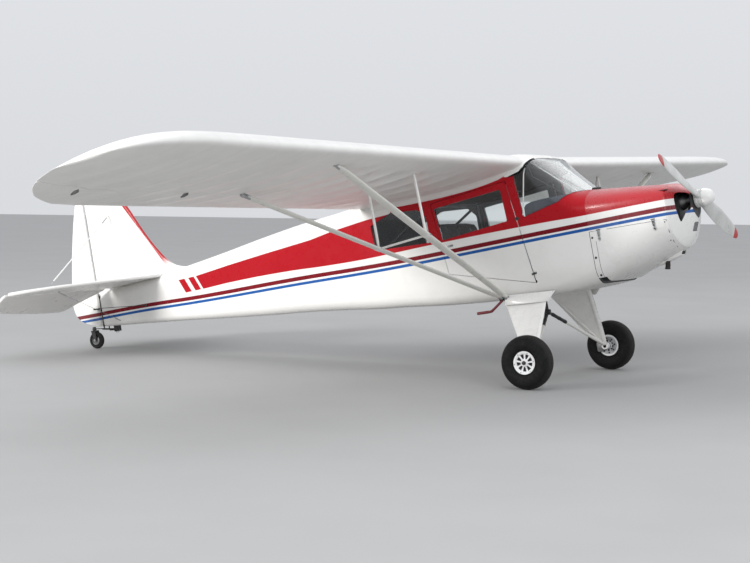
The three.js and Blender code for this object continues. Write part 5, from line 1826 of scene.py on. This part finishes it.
for start, end, radius, turnbuckle, kind in (
    (Vector((-4.750, 0.020, 0.430)), BRACE_TOP, 0.0062, [0.003, 0.0075, 0.0075, 0.003], 0),
    (brace_bolt(-26), Vector((-4.760, 0.062, -0.630)), 0.0016, [0.002, 0.005, 0.005, 0.002], 1),
):
    wires.tube([start, end], radius, 10, kind)
    for near, far in ((start, end), (end, start)):
        places = [near.lerp(far, share) for share in (0.01, 0.03, 0.10, 0.12)]
        wires.tube(places, turnbuckle, 14, 1)
wires.tube([brace_bolt(-30), brace_bolt(22)], 0.0060, 12, 1)
wires.turned(BRACE_TOP, UP, [(0, -0.004), (0.012, -0.004), (0.012, 0.003), (0, 0.004)], 6, 1)
for rise in (-20, 18):
    wires.turned(brace_bolt(rise), UP, plug(0.014, -0.004, 0.004), 6, 1)
wires = wires.object("brace_wire_set_left", white, steel)
place_pair(wires, "airframe", "bare_metal", "brace_wires")

# Rod down each side of the sternpost
rod = Shape()
ROD_X, ROD_Y = -5.012, 0.040
ROD_SPOTS = [(ROD_Y, -0.318), (ROD_Y, -0.330), (ROD_Y, -0.655), (0.036, -0.672)]
rod.tube([(ROD_X, y, z) for y, z in ROD_SPOTS], [0.005, 0.0066, 0.0066, 0.005], 16, 0)
for rod_z in (-0.345, -0.480, -0.635):
    rod.tube([(ROD_X, ROD_Y, rod_z - 0.011), (ROD_X, ROD_Y, rod_z + 0.011)], 0.0086, 16, 0)
rod = rod.object("sternpost_rod_left", engine_black)
place_pair(rod, "airframe", "black_paint")

# Tail wheel on its leaf spring

TAIL_WHEEL_X, TAIL_WHEEL_Z, TAIL_WHEEL_RADIUS = -5.162, -0.76563, 0.084
TAIL_WHEEL = (TAIL_WHEEL_X, 0, TAIL_WHEEL_Z)
CASTER_X = -5.172
spring = Shape()
leaves = [
    (-4.855, -0.6885), (-4.915, -0.6835), (-4.970, -0.677), (-5.060, -0.662), (-5.130, -0.653),
    (-5.190, -0.648)
]
for lower, reach, half in ((0, 6, 0.019), (1, 4, 0.019), (2, 3, 0.018)):
    shift = -0.0078 * lower
    top = [(x, z + shift + 0.0034) for x, z in leaves[:reach]]
    under = [(x, z + shift - 0.0034) for x, z in leaves[:reach][::-1]]
    spring.prism(top + under, -half, half)
spring.block((-4.905, -0.024, -0.716), (-4.850, 0.024, -0.655), 0)
for y in (0.016, -0.016):
    spring.tube([(-4.883, y, -0.73), (-4.883, y, -0.655)], 0.005, 8, 1)
spring.tube([(CASTER_X, 0, -0.664), (CASTER_X, 0, -0.630)], [0.020, 0.016], 20, 0)
spring = spring.object("tail_spring_leaves", engine_black, steel)
bevel(spring, 0.0012, 1)
place(spring, "airframe", "black_paint", "tail_spring")
fork = Shape()
for side in (1, -1):
    cheek = [
        (-5.146, -0.671), (-5.194, -0.671), (-5.184, -0.72), (-5.178, TAIL_WHEEL_Z - 0.010),
        (-5.146, TAIL_WHEEL_Z - 0.010), (-5.142, -0.72)
    ]
    low, high = sorted((side * 0.0275, side * 0.0335))
    fork.prism(rounded(cheek, 0.008, 3), low, high)
    fork.turned(
        (TAIL_WHEEL_X, side * 0.034, TAIL_WHEEL_Z), (0, side, 0),
        [(0.013, 0), (0.013, 0.006), (0.008, 0.010), (0, 0.010)], 6, 1
    )
fork.block((-5.194, -0.034, -0.677), (-5.146, 0.034, -0.667))
fork.turned(
    (CASTER_X, 0, -0.672), UP,
    [(0, -0.02), (0.018, -0.018), (0.02, 0), (0.0078, 0.001), (0.0078, 0.039), (0, 0.039)], 24, 0
)
fork.tube([(TAIL_WHEEL_X, -0.034, TAIL_WHEEL_Z), (TAIL_WHEEL_X, 0.034, TAIL_WHEEL_Z)], 0.007, 14, 1)
for side in (1, -1):
    arm = [(CASTER_X, 0, -0.668), (-5.168, side * 0.052, -0.668)]
    fork.tube(arm, [(0.012, 0.0025), (0.007, 0.0025)], 12, 0, deep=FORWARD)
fork = fork.object("tail_fork_forged", black, steel)
place(fork, "tail_caster", "black_paint", "tail_fork")
small = Shape()
small.turned(TAIL_WHEEL, PORT, [
    (0.045, 0.020), (0.058, 0.0205), (0.070, 0.0235), (0.077, 0.020), (0.0815, 0.013), (0.0838, 0.005),
    (0.0838, -0.005), (0.0815, -0.013), (0.077, -0.020), (0.070, -0.0235), (0.058, -0.0205),
    (0.045, -0.020)], 72, 0)
small.turned(TAIL_WHEEL, PORT, [
    (0.009, 0.022), (0.018, 0.022), (0.021, 0.014), (0.038, 0.012), (0.043, 0.019), (0.0455, 0.020),
    (0.0455, -0.020), (0.043, -0.019), (0.038, -0.012), (0.021, -0.014), (0.018, -0.022),
    (0.009, -0.022), (0.009, 0.022)], 60, 1)
tail_rubber = rubber("tail_rubber", (TAIL_WHEEL_X, TAIL_WHEEL_Z, TAIL_WHEEL_RADIUS))
small = small.object("tail_wheel_tyre", tail_rubber, aluminium, angle=35)
place(small, "tail_wheel", "tyre_rubber", "tail_wheel")


# Details on the skin

def flank(x, z, proud=0.0):
    """A point over the port side of the body, and the way out of its surface there."""
    spots = [Vector((0, y * MM, height * MM)) for y, height in half_ring(x / MM)]
    for near, far in zip(spots, spots[1:]):
        if near.z < z <= far.z:
            way = Vector((0, far.z - near.z, near.y - far.y)).normalized()
            point = near.lerp(far, (z - near.z) / (far.z - near.z))
            return Vector((x, 0, 0)) + point + way * proud, way
    return Vector((x, 0, spots[0].z)), Vector((0, 0, -1))


def strip(shape, spots, width, thick, proud, deep, kind=0, sides=10):
    """A narrow strip along the skin, through places given as x and z."""
    path = [flank(x, z, proud)[0] for x, z in spots]
    return shape.tube(path, [(width / 2, thick / 2)] * len(path), sides, kind, deep)


def fastener(shape, x, z, radius, kind=0):
    spot, way = flank(x, z)
    profile = [(0, -0.002), (radius, -0.002), (radius, 0.0008), (radius * 0.7, 0.0018), (0, 0.002)]
    shape.turned(spot, way, profile, 12, kind)


def skin_plate(name, outline, start, end, proud, material, slot, sides=ACROSS):
    """A thin plate that follows the skin, from its outline in millimetres of x and z."""
    made = shell_between(name, start, end, -proud, 1.0)
    combine(made, side_prism(outline, *sides), "INTERSECT")
    return place(dressed(made, 30, material), "airframe", slot)


# Joints of the cowl's sheets: lines across and along it, with their fasteners
lines = Shape()
for x, width, top in ((0.4905, 0.0042, -0.70), (0.536, 0.0030, -0.785)):
    strip(lines, [(x, z) for z in steps_between(-1.128, top, 0.02)], width, 0.0016, 0.0002, FORWARD)
NOSE_JOINT = [
    (1.134, -0.45), (1.133, -0.56), (1.129, -0.689), (1.121, -0.811), (1.113, -0.895),
    (1.104, -0.945)
]
strip(lines, [(1.129, -0.716), *NOSE_JOINT[3:]], 0.0045, 0.0018, 0.0014, FORWARD)
split = [(x, -0.688 - 0.025 * x) for x in steps_between(0.49, 1.128, 0.04)]
strip(lines, split, 0.0030, 0.0014, 0.0002, UP)
lines = lines.object("cowl_joints_left", seal)
place_pair(lines, "airframe", "black_paint")
heads = Shape()
for x, z in ((0.508, -0.752), (0.510, -0.918), (0.517, -1.065)):
    fastener(heads, x, z, 0.0105)
for x, z in ((1.112, -0.735), (1.098, -0.885)):
    fastener(heads, x, z, 0.0065)
heads = heads.object("cowl_fasteners_left", engine_black)
place_pair(heads, "airframe", "dark_metal")

# Cowl latches, each on its own plate: a slim bar with three bosses
BOSS = [(0.0115, -0.004), (0.0115, 0.001), (0.0095, 0.003), (0.0065, 0.003), (0.0065, 0.0015)]
for name, low, high, catch_x in (
    ("front", (998, -775), (1112, -714), 1.031), ("rear", (494, -785), (647, -702), 0.572)
):
    rim = oblong(low, high)
    skin_plate(
        f"latch_rim_{name}", rounded(inset(rim, -4), 12), low[0] - 20, high[0] + 20, 0.4, seal,
        "black_paint"
    )
    skin_plate(
        f"latch_plate_{name}", rounded(rim, 10), low[0] - 20, high[0] + 20, 1.2, cowl_paint,
        "red_paint"
    )
    catch = Shape()
    top = -0.700
    spots = [flank(catch_x, z, 0.0035)[0] for z in (top, top - 0.012, top - 0.075, top - 0.086)]
    catch.tube(
        spots, [(0.004, 0.003), (0.0075, 0.0045), (0.0075, 0.0045), (0.004, 0.003)], 14, 1,
        deep=FORWARD
    )
    for z in (top - 0.016, top - 0.042, top - 0.068):
        spot, way = flank(catch_x, z, 0.006)
        catch.turned(spot, way, BOSS, 18, 1)
        catch.turned(spot, way, [(0.0065, 0.0015), (0, 0.0015)], 18, 0)
    bail, way = flank(catch_x, top + 0.004, 0.003)
    catch.tube([bail - Vector((0.017, 0, 0)), bail + Vector((0.017, 0, 0))], 0.0032, 10, 0)
    for side in (-0.010, 0.010):
        ends = [flank(catch_x + side, top - drop, 0.003)[0] for drop in (0.002, 0.034)]
        catch.tube(ends, 0.0016, 8, 0)
    catch = catch.object(f"latch_catch_{name}_left", engine_black, steel)
    place_pair(catch, "airframe", "dark_metal")

# Fuel cap with its bent gauge wire
CAP, CAP_AXIS, CAP_RADIUS = Vector((0.425, 0, -0.342)), (0.115, 0, 0.993), 0.0375
cap = Shape()
profile = [
    (0.031, -0.004), (0.031, 0.010), (CAP_RADIUS, 0.0105), (CAP_RADIUS, 0.0235), (0.0345, 0.0275),
    (0.020, 0.0285), (0.0, 0.0290),
]
cap.turned(CAP, CAP_AXIS, profile, 48)
for a in around(16):
    rim = CAP + Vector((math.cos(a) * CAP_RADIUS, math.sin(a) * CAP_RADIUS, 0.0))
    cap.tube([rim + Vector((0.001, 0, 0.012)), rim + Vector((0.003, 0, 0.023))], 0.0026, 8)
cap.turned(CAP, CAP_AXIS, [(0.046, -0.004), (0.046, 0.0022), (0.034, 0.0030)], 48, 1)
WIRE = [
    (0.427, 0, -0.318), (0.427, 0, -0.300), (0.431, 0, -0.278), (0.440, 0, -0.252),
    (0.447, 0, -0.238), (0.447, 0, -0.230), (0.441, 0, -0.226)
]
cap.tube(WIRE, 0.0024, 10, 2)
cap = cap.object("fuel_cap_turned", black, red, rust, angle=35)
place(cap, "airframe", "black_paint", "fuel_cap")

# Root seal where the windshield meets the wing, and the joint in the windshield
ROOT_SEAL = [
    (58, 40), (44, -12), (26, -66), (-24, -101), (-100, -116), (-140, -118), (-141, -113), (-100, -104),
    (-30, -87), (8, -52), (28, -8), (42, 40),
]
# White fillet round the wing's leading edge, inside the seal
ROOT_FILLET = [
    (44, 66), (43, 40), (29, -8), (9, -52), (-29, -87), (-100, -104), (-141, -113), (-170, -108),
    (-170, -40), (-20, -20), (0, 20), (6, 66),
]
for side, sign in (("left", 1), ("right", -1)):
    reach = sorted((300 * sign, 600 * sign))
    skin_plate(f"root_seal_{side}", ROOT_SEAL, -150, 62, 3.4, seal, "black_paint", reach)
    skin_plate(f"root_fillet_{side}", ROOT_FILLET, -175, 50, 2.2, white, "white_paint", reach)
# White strip between the wing's underside and the flank
rings = []
for x in steps_between(-1565, -120, 20):
    share = smooth((x + 1600) / 200) * (0.55 + 0.45 * smooth((-x - 120) / 120))
    edge = flank(x * MM, underside(x, ROOT_Y) - 0.036 * share)[0]
    wide = edge.y + 0.050 * share
    under = underside(x, wide / MM) + 0.002
    ring = [edge + Vector((0, -0.010, 0)), edge + Vector((0, 0.0012, 0))]
    for t in (0.25, 0.5, 0.75):
        ring.append(Vector((
            edge.x, edge.y + (wide - edge.y) * t,
            edge.z + (under - edge.z) * t + 0.005 * share * math.sin(math.pi * t)
        )))
    ring += [
        Vector((edge.x, wide, under)), Vector((edge.x, wide, under + 0.008)),
        Vector((edge.x, edge.y - 0.010, under + 0.008))
    ]
    rings.append(ring)
fairing = Shape().loft(rings).object("root_fairing_left", wing_skin, angle=50)
place_pair(fairing, "airframe", "white_paint")
joint = Shape()
JOINT = [
    (0.024, -0.05), (0.012, -0.115), (0.0, -0.18), (-0.012, -0.24), (-0.026, -0.31),
    (-0.041, -0.387), (-0.056, -0.455)
]
strip(joint, JOINT, 0.011, 0.003, 0.0012, FORWARD, 0)
for x, z in JOINT[1:-1]:
    fastener(joint, x, z, 0.003, 1)
joint = joint.object("windshield_joint_left", white, steel)
place_pair(joint, "airframe", "white_paint")

# Door hinges, the jamb's flange, handle and latch

HINGE_TOP, HINGE_LOW = Vector((-0.166, 0.508, -0.140)), Vector((-0.030, 0.508, -1.035))
pin = (HINGE_LOW - HINGE_TOP).normalized()
rearward = Vector((pin.z, 0, -pin.x))


def leaf(shape, centre, way, start, end, half):
    """One leaf of a hinge, flat on the skin, with two screws."""
    rings = []
    for reach in (start, end):
        spot = centre + way * reach
        spot.y = 0.5012
        rings.append([
            spot + pin * a + Vector((0, b, 0))
            for a, b in ((-half, 0), (half, 0), (half, 0.0022), (-half, 0.0022))
        ])
    shape.loft(rings)
    for a in (-0.55 * half, 0.55 * half):
        spot = centre + way * (start + end) / 2 + pin * a
        spot.y = 0.5034
        shape.turned(spot, PORT, [(0, 0), (0.0024, 0), (0.0018, 0.001), (0, 0.0012)], 10, 1)


on_jamb, on_door = Shape(), Shape()
for share, half, reach in ((0.37, 0.0115, 0.022), (0.905, 0.0085, 0.027)):
    centre = HINGE_TOP.lerp(HINGE_LOW, share)
    for shape, low, high, radius, sides, kind in (
        (on_jamb, -1.15, -0.38, 0.0050, 16, 0), (on_jamb, 0.38, 1.15, 0.0050, 16, 0),
        (on_jamb, -1.3, 1.3, 0.0022, 10, 1), (on_door, -0.34, 0.34, 0.0050, 16, 0),
    ):
        ends = [centre + pin * half * low, centre + pin * half * high]
        shape.tube(ends, radius, sides, kind)
    leaf(on_jamb, centre, -rearward, 0.003, reach * 0.7, half)
    leaf(on_door, centre, rearward, 0.003, reach, half)
place_pair(on_jamb.object("hinge_jamb_left", black, steel), "airframe", "black_paint")
flange = Shape()
rings = []
for share in (0.03, 0.25, 0.5, 0.75, 0.97):
    spot = HINGE_TOP.lerp(HINGE_LOW, share)
    rings.append([
        Vector((spot.x, y, spot.z)) + rearward * a
        for a, y in ((-0.004, 0.4985), (0.0082, 0.4985), (0.0082, 0.4968), (-0.004, 0.4968))
    ])
flange.loft(rings)
place_pair(flange.object("jamb_flange_left", cowl_paint), "airframe", "red_paint")
lock_plate = [(-0.803, -0.592), (-0.752, -0.590), (-0.752, -0.576), (-0.803, -0.578)]
on_door.prism(rounded(lock_plate, 0.005, 3), 0.4995, 0.5045)
boss = [(0.0, 0.010), (0.007, 0.0095), (0.0085, 0.006), (0.0085, -0.003)]
on_door.turned((-0.790, 0.5045, -0.585), PORT, boss, 20, 1)
lever = [(-0.790, 0.511, -0.585), (-0.775, 0.513, -0.5845), (-0.752, 0.5125, -0.584)]
on_door.tube(lever, [(0.006, 0.0025), (0.0055, 0.0022), (0.004, 0.002)], 12, 1, deep=UP)
place_pair(on_door.object("door_fittings_left", black, steel), "door", "black_paint")

# Fittings at the struts' feet
foot = Shape()
for strut_foot in (FRONT_STRUT[0], REAR_STRUT[0]):
    ends = [strut_foot + Vector((0, -0.030, -0.006)), strut_foot + Vector((0, 0.026, 0.006))]
    foot.tube(ends, [(0.020, 0.013), (0.013, 0.0185)], 16, 0, deep=FORWARD)
foot.block((-0.412, 0.470, -1.128), (-0.296, 0.4935, -1.096))
foot = foot.object("strut_feet_left", black)
bevel(foot, 0.002, 2)
place_pair(foot, "airframe", "black_paint")

# Lights at the wing's tips, and the brackets over the aileron's hinges
for side, sign, lens in (("left", 1, red_lens), ("right", -1, green_lens)):
    lamp = Shape()
    spot = Vector((-0.405, 5.462 * sign, 0.066))
    for kind, grow, low, high in ((0, 1.0, -0.055, 0.012), (1, 0.9, 0.008, 0.048)):
        path = [spot + Vector((x, 0, 0)) for x in steps_between(low, high, 0.006)]
        bulge = [math.sqrt(max(1 - ((p.x - spot.x) / 0.058) ** 2, 0)) for p in path]
        size = [max(0.016 * grow * share, 0.001) for share in bulge]
        lamp.tube(path, [(s * 1.1, s) for s in size], 20, kind, deep=UP)
    lamp = lamp.object(f"tip_light_{side}", white, lens, angle=60)
    place(lamp, "airframe", "white_paint")
brackets = Shape()
for y in (3.78, 4.95):
    base = underside(-1070, y * 1000)
    outline = [
        (-1.040, base + 0.006), (-1.045, base - 0.012), (-1.080, base - 0.020), (-1.112, base - 0.021),
        (-1.112, base - 0.012), (-1.080, base + 0.004),
    ]
    brackets.prism(outline, y - 0.0025, y + 0.0025)
    brackets.tube([(-1.104, y - 0.007, base - 0.0165), (-1.104, y + 0.007, base - 0.0165)], 0.0045, 12)
brackets = brackets.object("aileron_brackets_left", engine_metal)
bevel(brackets, 0.0008, 1)
place_pair(brackets, "airframe", "black_paint")

# Rudder cables
cables = Shape()
run = [
    (-5.052, 0.105, -0.458), (-4.900, 0.116, -0.472), (-4.360, 0.146, -0.530), (-4.300, 0.130, -0.538),
]
cables.tube(run, 0.0028, 8)
cables.tube([(-4.385, 0.143, -0.528), (-4.345, 0.150, -0.532)], [0.008, 0.010], 14)
place_pair(cables.object("rudder_cables_left", black), "airframe", "black_paint")


# Inside the cabin

def on_body(name, start, end, inward, outline, material):
    """A solid that fills the cabin across, cut to a side outline in millimetres of x and z."""
    made = body_solid(name, start, end, inward)
    combine(made, side_prism(outline, *ACROSS), "INTERSECT")
    return dressed(made, 35, material)


BOARD = [
    (-1560, -1080), (-1560, -930), (-1540, -930), (-1500, -960), (-950, -1040), (-400, -1096),
    (450, -1096), (450, -1130), (-400, -1130), (-1500, -990),
]
floor_board = on_body("cabin_floor", -1560, 450, 27, BOARD, plywood)
place(floor_board, "airframe", "seat_ply")
HOOD = [
    (-50, -468), (-47, -392), (-28, -371), (20, -357), (100, -353), (375, -352), (397, -362),
    (397, -476), (104, -476), (104, -452)
]
hood = on_body("glareshield", -70, 400, 26.5, HOOD, glare_grey)
hood_room = Shape().block((-0.2, -0.42, -0.6), (0.146, 0.42, -0.400)).object("hood_room")
combine(hood, hood_room, "DIFFERENCE")
soften(hood, 35)
place(hood, "airframe", "panel_black")

PANEL_X = 0.150
BOARD_EDGE = [(150, -609), (150, -431), (161, -431), (161, -609)]
panel = on_body("instrument_board", 140, 170, 27, BOARD_EDGE, panel_black)
place(panel, "airframe", "panel_black", "instrument_panel")
gauges = Shape()


def gauge(y, z, radius, ticks):
    """A dial seen from the seats, with a bezel, a black face, pale ticks and a pointer."""
    spot = Vector((PANEL_X, y, z))
    bezel = [
        (radius + 0.005, -0.001), (radius + 0.005, 0.004), (radius + 0.001, 0.0065),
        (radius - 0.002, 0.004), (radius - 0.002, 0.0015),
    ]
    gauges.turned(spot, AFT, bezel, 36, 0)
    gauges.turned(spot, AFT, [(radius - 0.001, 0.0015), (0.0, 0.0015)], 36, 1)
    for k in range(ticks):
        a = math.radians(220 - 260 * k / (ticks - 1))
        out = Vector((0, -math.cos(a), math.sin(a)))
        long = 0.72 if k % 2 == 0 else 0.80
        ends = [spot + out * radius * far + Vector((-0.0018, 0, 0)) for far in (long, 0.90)]
        gauges.tube(ends, 0.0008, 6, 2)
    a = math.radians(150 - 90 * y)
    out = Vector((0, -math.cos(a), math.sin(a)))
    ends = [spot + out * radius * far + Vector((-0.0024, 0, 0)) for far in (-0.2, 0.72)]
    gauges.tube(ends, [0.0016, 0.0007], 6, 2)
    gauges.turned(spot, AFT, [(0.004, 0.0015), (0.004, 0.0035), (0, 0.004)], 12, 0)


for y, z, radius, ticks in (
    (-0.33, -0.520, 0.040, 11), (-0.235, -0.500, 0.040, 13), (-0.11, -0.520, 0.040, 11),
    (0.0, -0.520, 0.040, 9), (0.11, -0.520, 0.040, 11), (0.235, -0.500, 0.028, 7),
    (0.31, -0.500, 0.028, 7), (0.31, -0.565, 0.022, 5), (-0.055, -0.583, 0.018, 5),
    (0.055, -0.583, 0.018, 5),
):
    gauge(y, z, radius, ticks)
for k in range(6):
    y = 0.10 + k * 0.022
    gauges.tube([(PANEL_X, y, -0.590), (PANEL_X - 0.012, y, -0.586)], [0.0026, 0.0018], 8, 2)
for y in (-0.13, 0.09):
    gauges.tube([(PANEL_X, y, -0.593), (PANEL_X - 0.03, y, -0.593)], 0.003, 10, 0)
    knob = [(0, 0), (0.010, 0.001), (0.0115, 0.006), (0.010, 0.012), (0, 0.0135)]
    gauges.turned((PANEL_X - 0.026, y, -0.593), AFT, knob, 20, 3)
gauges = gauges.object("panel_dials", engine_black, dial, marks, red, angle=35)
place(gauges, "airframe", "panel_black")

YOKE_Z = -0.560
COLLAR = [(0.024, 0), (0.024, 0.004), (0.015, 0.010), (0.0105, 0.011)]
YOKE_HUB = [(0, -0.014), (0.022, -0.014), (0.027, -0.004), (0.027, 0.008), (0.020, 0.014), (0, 0.015)]
yokes = Shape()
for y in (-0.215, 0.215):
    hub_spot = Vector((-0.020, y, YOKE_Z))
    yokes.tube([(PANEL_X, y, YOKE_Z), hub_spot], 0.0105, 20, 1)
    yokes.turned((PANEL_X, y, YOKE_Z), AFT, COLLAR, 24, 0)
    yokes.turned(hub_spot, AFT, YOKE_HUB, 28, 0)
    rim = []
    for k in range(25):
        a = math.radians(-214 + 248 * k / 24)
        rim.append(hub_spot + Vector((-0.006, 0.106 * math.cos(a), -0.106 * math.sin(a) * 0.86)))
    yokes.tube(rim, [0.009] + [0.0105] * 23 + [0.009], 14, 0)
    for side in (-1, 1):
        out = Vector((0, side, 0))
        spoke = [hub_spot + out * 0.02, hub_spot + out * 0.102 + Vector((-0.004, 0, 0))]
        yokes.tube(spoke, [(0.012, 0.005), (0.008, 0.005)], 14, 0, deep=UP)
yokes = yokes.object("control_wheels", black, steel, angle=50)
place(yokes, "airframe", "black_paint")

# Tubes of the cabin's frame: the ends on the port side, radius, sides and kind
FRAME_TUBES = [
    ((-0.02, 0.28, 0.0), (0.345, 0.22, -0.335), 0.006, 14, 0),
    ((-0.005, 0.30, -0.138), (0.263, 0.30, -0.345), 0.006, 14, 1),
    ((-0.03, 0.30, -0.01), (-0.005, 0.30, -0.138), 0.006, 14, 1),
    ((-0.10, 0.452, -0.150), (-0.93, 0.452, -0.205), 0.0125, 16, 1),
    ((-0.93, 0.452, -0.205), (-0.90, 0.455, -0.80), 0.0125, 16, 1),
    ((-0.945, 0.452, -0.215), (-1.53, 0.44, -0.55), 0.0125, 16, 1),
]
tubes = Shape()
for sign in (1, -1):
    for start, end, radius, sides, kind in FRAME_TUBES:
        tubes.tube([(x, y * sign, z) for x, y, z in (start, end)], radius, sides, kind)
tubes.tube([(-0.03, -0.44, -0.02), (-0.02, 0.0, 0.035), (-0.03, 0.44, -0.02)], 0.0145, 16, 1)
tubes.tube([(-0.945, -0.452, -0.21), (-0.945, 0.452, -0.21)], 0.0145, 16, 1)
place(tubes.object("cabin_tubes", white, black), "airframe", "black_paint")

# Seat: a plywood box and two bench cushions, puffed by cloth simulation

SEAT_BOX = [(-0.362, -0.8665), (-0.938, -0.8665), (-0.938, -1.045), (-0.392, -1.092)]
base = Shape().prism(rounded(SEAT_BOX, 0.02, 4), -0.415, 0.415).object("seat_box", plywood)
bevel(base, 0.004, 2)
place(base, "airframe", "seat_ply", "seat_base")


PRESSURE, CLOTH_FRAMES = 4.0, 20


def puffed(made, cap):
    """Swells a closed form like a stuffed cover. No point moves further than the cap."""
    step = made.modifiers.new("remesh", "REMESH")
    step.mode = "VOXEL"
    step.voxel_size = 0.0075
    settle(made)
    start = [v.co.copy() for v in made.data.vertices]
    sheet = made.modifiers.new("cloth", "CLOTH")
    sheet.settings.use_pressure = True
    sheet.settings.uniform_pressure_force = PRESSURE
    sheet.settings.effector_weights.gravity = 0
    sheet.point_cache.frame_start, sheet.point_cache.frame_end = 1, CLOTH_FRAMES
    for number in range(1, CLOTH_FRAMES + 1):
        scene.frame_set(number)
    settle(made)
    scene.frame_set(1)
    for vertex, was in zip(made.data.vertices, start):
        move = vertex.co - was
        if move.length > cap:
            vertex.co = was + move.normalized() * cap
    step = made.modifiers.new("finer", "SUBSURF")
    step.levels = step.render_levels = 1
    return settle(made, 60)


def crowned(outline, half, name):
    """A stuffed block: its side outline narrows towards both ends and bows between seams."""
    middle = sum((Vector(p) for p in outline), Vector((0, 0))) / len(outline)
    rings = []
    for k in range(-12, 13):
        y = half * k / 12
        share = 1 - 0.10 * abs(k / 12) ** 6
        ring = [middle + (Vector(p) - middle) * share for p in rounded(outline, 0.03, 4)]
        rings.append([Vector((p.x, y, p.y)) for p in ring])
    return Shape().loft(rings).object(name, seat_cloth, seat_piping)


CHANNEL_WIDTH = 0.011


def channel(made, y, depth):
    """A sewn channel from front to rear, pressed into the cover."""
    for vertex in made.data.vertices:
        away = (vertex.co.y - y) / CHANNEL_WIDTH
        if abs(away) < 3:
            vertex.co -= vertex.normal * depth * math.exp(-away * away)


CORD_RADIUS = 0.0035


def piping(tree, outline, y):
    """A corded seam that follows the cover all round at one y."""
    middle = sum((Vector(p) for p in outline), Vector((0, 0))) / len(outline)
    centre = Vector((middle.x, y, middle.y))
    path = []
    for x, z in rounded(inset(outline, 0.004), 0.035, 8):
        point, normal, _, _ = tree.find_nearest(centre + (Vector((x, y, z)) - centre) * 1.05)
        path.append(point + normal * CORD_RADIUS * 0.3)
    path.append(path[0])
    return Shape().tube(path, CORD_RADIUS, 8)


CUSHION = [(-0.815, -0.850), (-0.362, -0.850), (-0.350, -0.800), (-0.385, -0.764), (-0.805, -0.792)]
BACKREST = [(-0.842, -0.805), (-0.954, -0.350), (-1.018, -0.346), (-0.930, -0.812)]
for outline, name, node, cap in (
    (CUSHION, "seat_bench", "seat_cushion", 0.018),
    (BACKREST, "seat_backrest", "seat_back", 0.014)
):
    pad = puffed(crowned(outline, 0.408, name), cap)
    for y in (0.0, -0.204, 0.204):
        channel(pad, y, 0.011 if y == 0 else 0.006)
    place(pad, "airframe", "seat_cloth", node, padded=0.8)
    tree = BVHTree.FromPolygons(
        [v.co for v in pad.data.vertices], [p.vertices for p in pad.data.polygons]
    )
    for side in (1, -1):
        seam_name = f"{name}_piping_{'left' if side > 0 else 'right'}"
        seam = piping(tree, outline, 0.392 * side).object(seam_name, seat_piping)
        place(seam, "airframe", "seat_cloth")


# Floor, lights and camera

REACH = 60.0
floor_rings = [[Vector((x, y, 0)) for x in (-REACH, REACH)] for y in (-REACH, REACH)]
floor = Shape().loft(floor_rings, closed=False, caps=False)
ground = Finish("floor_paper", roughness=0.9)
ground.colour(ground.mix(
    ground.span(ground.noise(0.8, 3, 0.5), 0.3, 0.7), (0.36, 0.36, 0.357), (0.345, 0.345, 0.342)
))
ground.bump(ground.noise(300, 2, 0.5), 0.0003, 0.1)
floor = floor.object("floor", ground.material)
floor.matrix_world = Matrix.Identity(4)
if floor.data.polygons[0].normal.z < 0:
    floor.data.flip_normals()

# The sky grows brighter from the horizon up
world = bpy.data.worlds.new("studio")
scene.world = world
world.use_nodes = True
nodes, links = world.node_tree.nodes, world.node_tree.links
sky = nodes["Background"]
sky.inputs["Color"].default_value = (0.94, 0.96, 1.0, 1)
ways, parts, rise = [
    nodes.new(f"ShaderNode{kind}") for kind in ("TexCoord", "SeparateXYZ", "MapRange")
]
links.new(ways.outputs["Generated"], parts.inputs[0])
links.new(parts.outputs[2], rise.inputs["Value"])
for socket, value in (("From Min", 0.0), ("From Max", 0.9), ("To Min", 0.74), ("To Max", 1.15)):
    rise.inputs[socket].default_value = value
links.new(rise.outputs[0], sky.inputs["Strength"])


def area_light(name, where, target, size, power, colour=(1, 1, 1)):
    light = bpy.data.lights.new(name, "AREA")
    light.shape = "DISK"
    light.size = size
    light.energy = power
    light.color = colour
    made = bpy.data.objects.new(name, light)
    scene.collection.objects.link(made)
    made.location = where
    made.rotation_euler = (Vector(target) - Vector(where)).to_track_quat("-Z", "Y").to_euler()
    return made


area_light("key", (-12, -23.2, 9.9), (0, 0, 0.8), 9.6, 6200, (1.0, 0.985, 0.96))
area_light("fill", (12, -8, 6), (1, 0, 1), 7, 420, (0.95, 0.97, 1.0))
area_light("back", (2, 11, 9), UP, 8, 120)
scene.view_settings.view_transform = "Standard"

# The photo's view: its angles, and its focal length and width in pixels
AZIMUTH, ELEVATION, ROLL = math.radians(29.84), math.radians(3.21), math.radians(0.19)
FOCAL, PHOTO_WIDTH = 1691.9, 750
camera_data = bpy.data.cameras.new("camera")
camera_data.sensor_width = 36
camera_data.lens = FOCAL / PHOTO_WIDTH * camera_data.sensor_width
camera_data.clip_end = 200
camera = bpy.data.objects.new("camera", camera_data)
scene.collection.objects.link(camera)
camera.location = (7.8479, -13.369, 1.641)
view_way = Vector((
    -math.sin(AZIMUTH) * math.cos(ELEVATION), math.cos(AZIMUTH) * math.cos(ELEVATION),
    -math.sin(ELEVATION),
))
aside = view_way.cross(Vector(UP)).normalized()
above = aside.cross(view_way)
leaning = (
    aside * math.cos(ROLL) + above * math.sin(ROLL),
    above * math.cos(ROLL) - aside * math.sin(ROLL),
    -view_way,
)
camera.rotation_euler = Matrix(leaning).transposed().to_euler()
scene.camera = camera

bpy.data.objects.remove(body_form)
bpy.data.objects.remove(cabin_room)

# Each mesh goes from the level frame into the row frame, so that its box is the real one. The
# part's own solids are there already.
bpy.context.view_layer.update()
for piece in [one for one in scene.objects if one.type == "MESH" and "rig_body" in one]:
    if (piece.matrix_world.translation - LEVEL.translation).length < 1e-5:
        piece.data.transform(LEVEL)
        piece.matrix_world = Matrix.Identity(4)
bpy.context.view_layer.update()
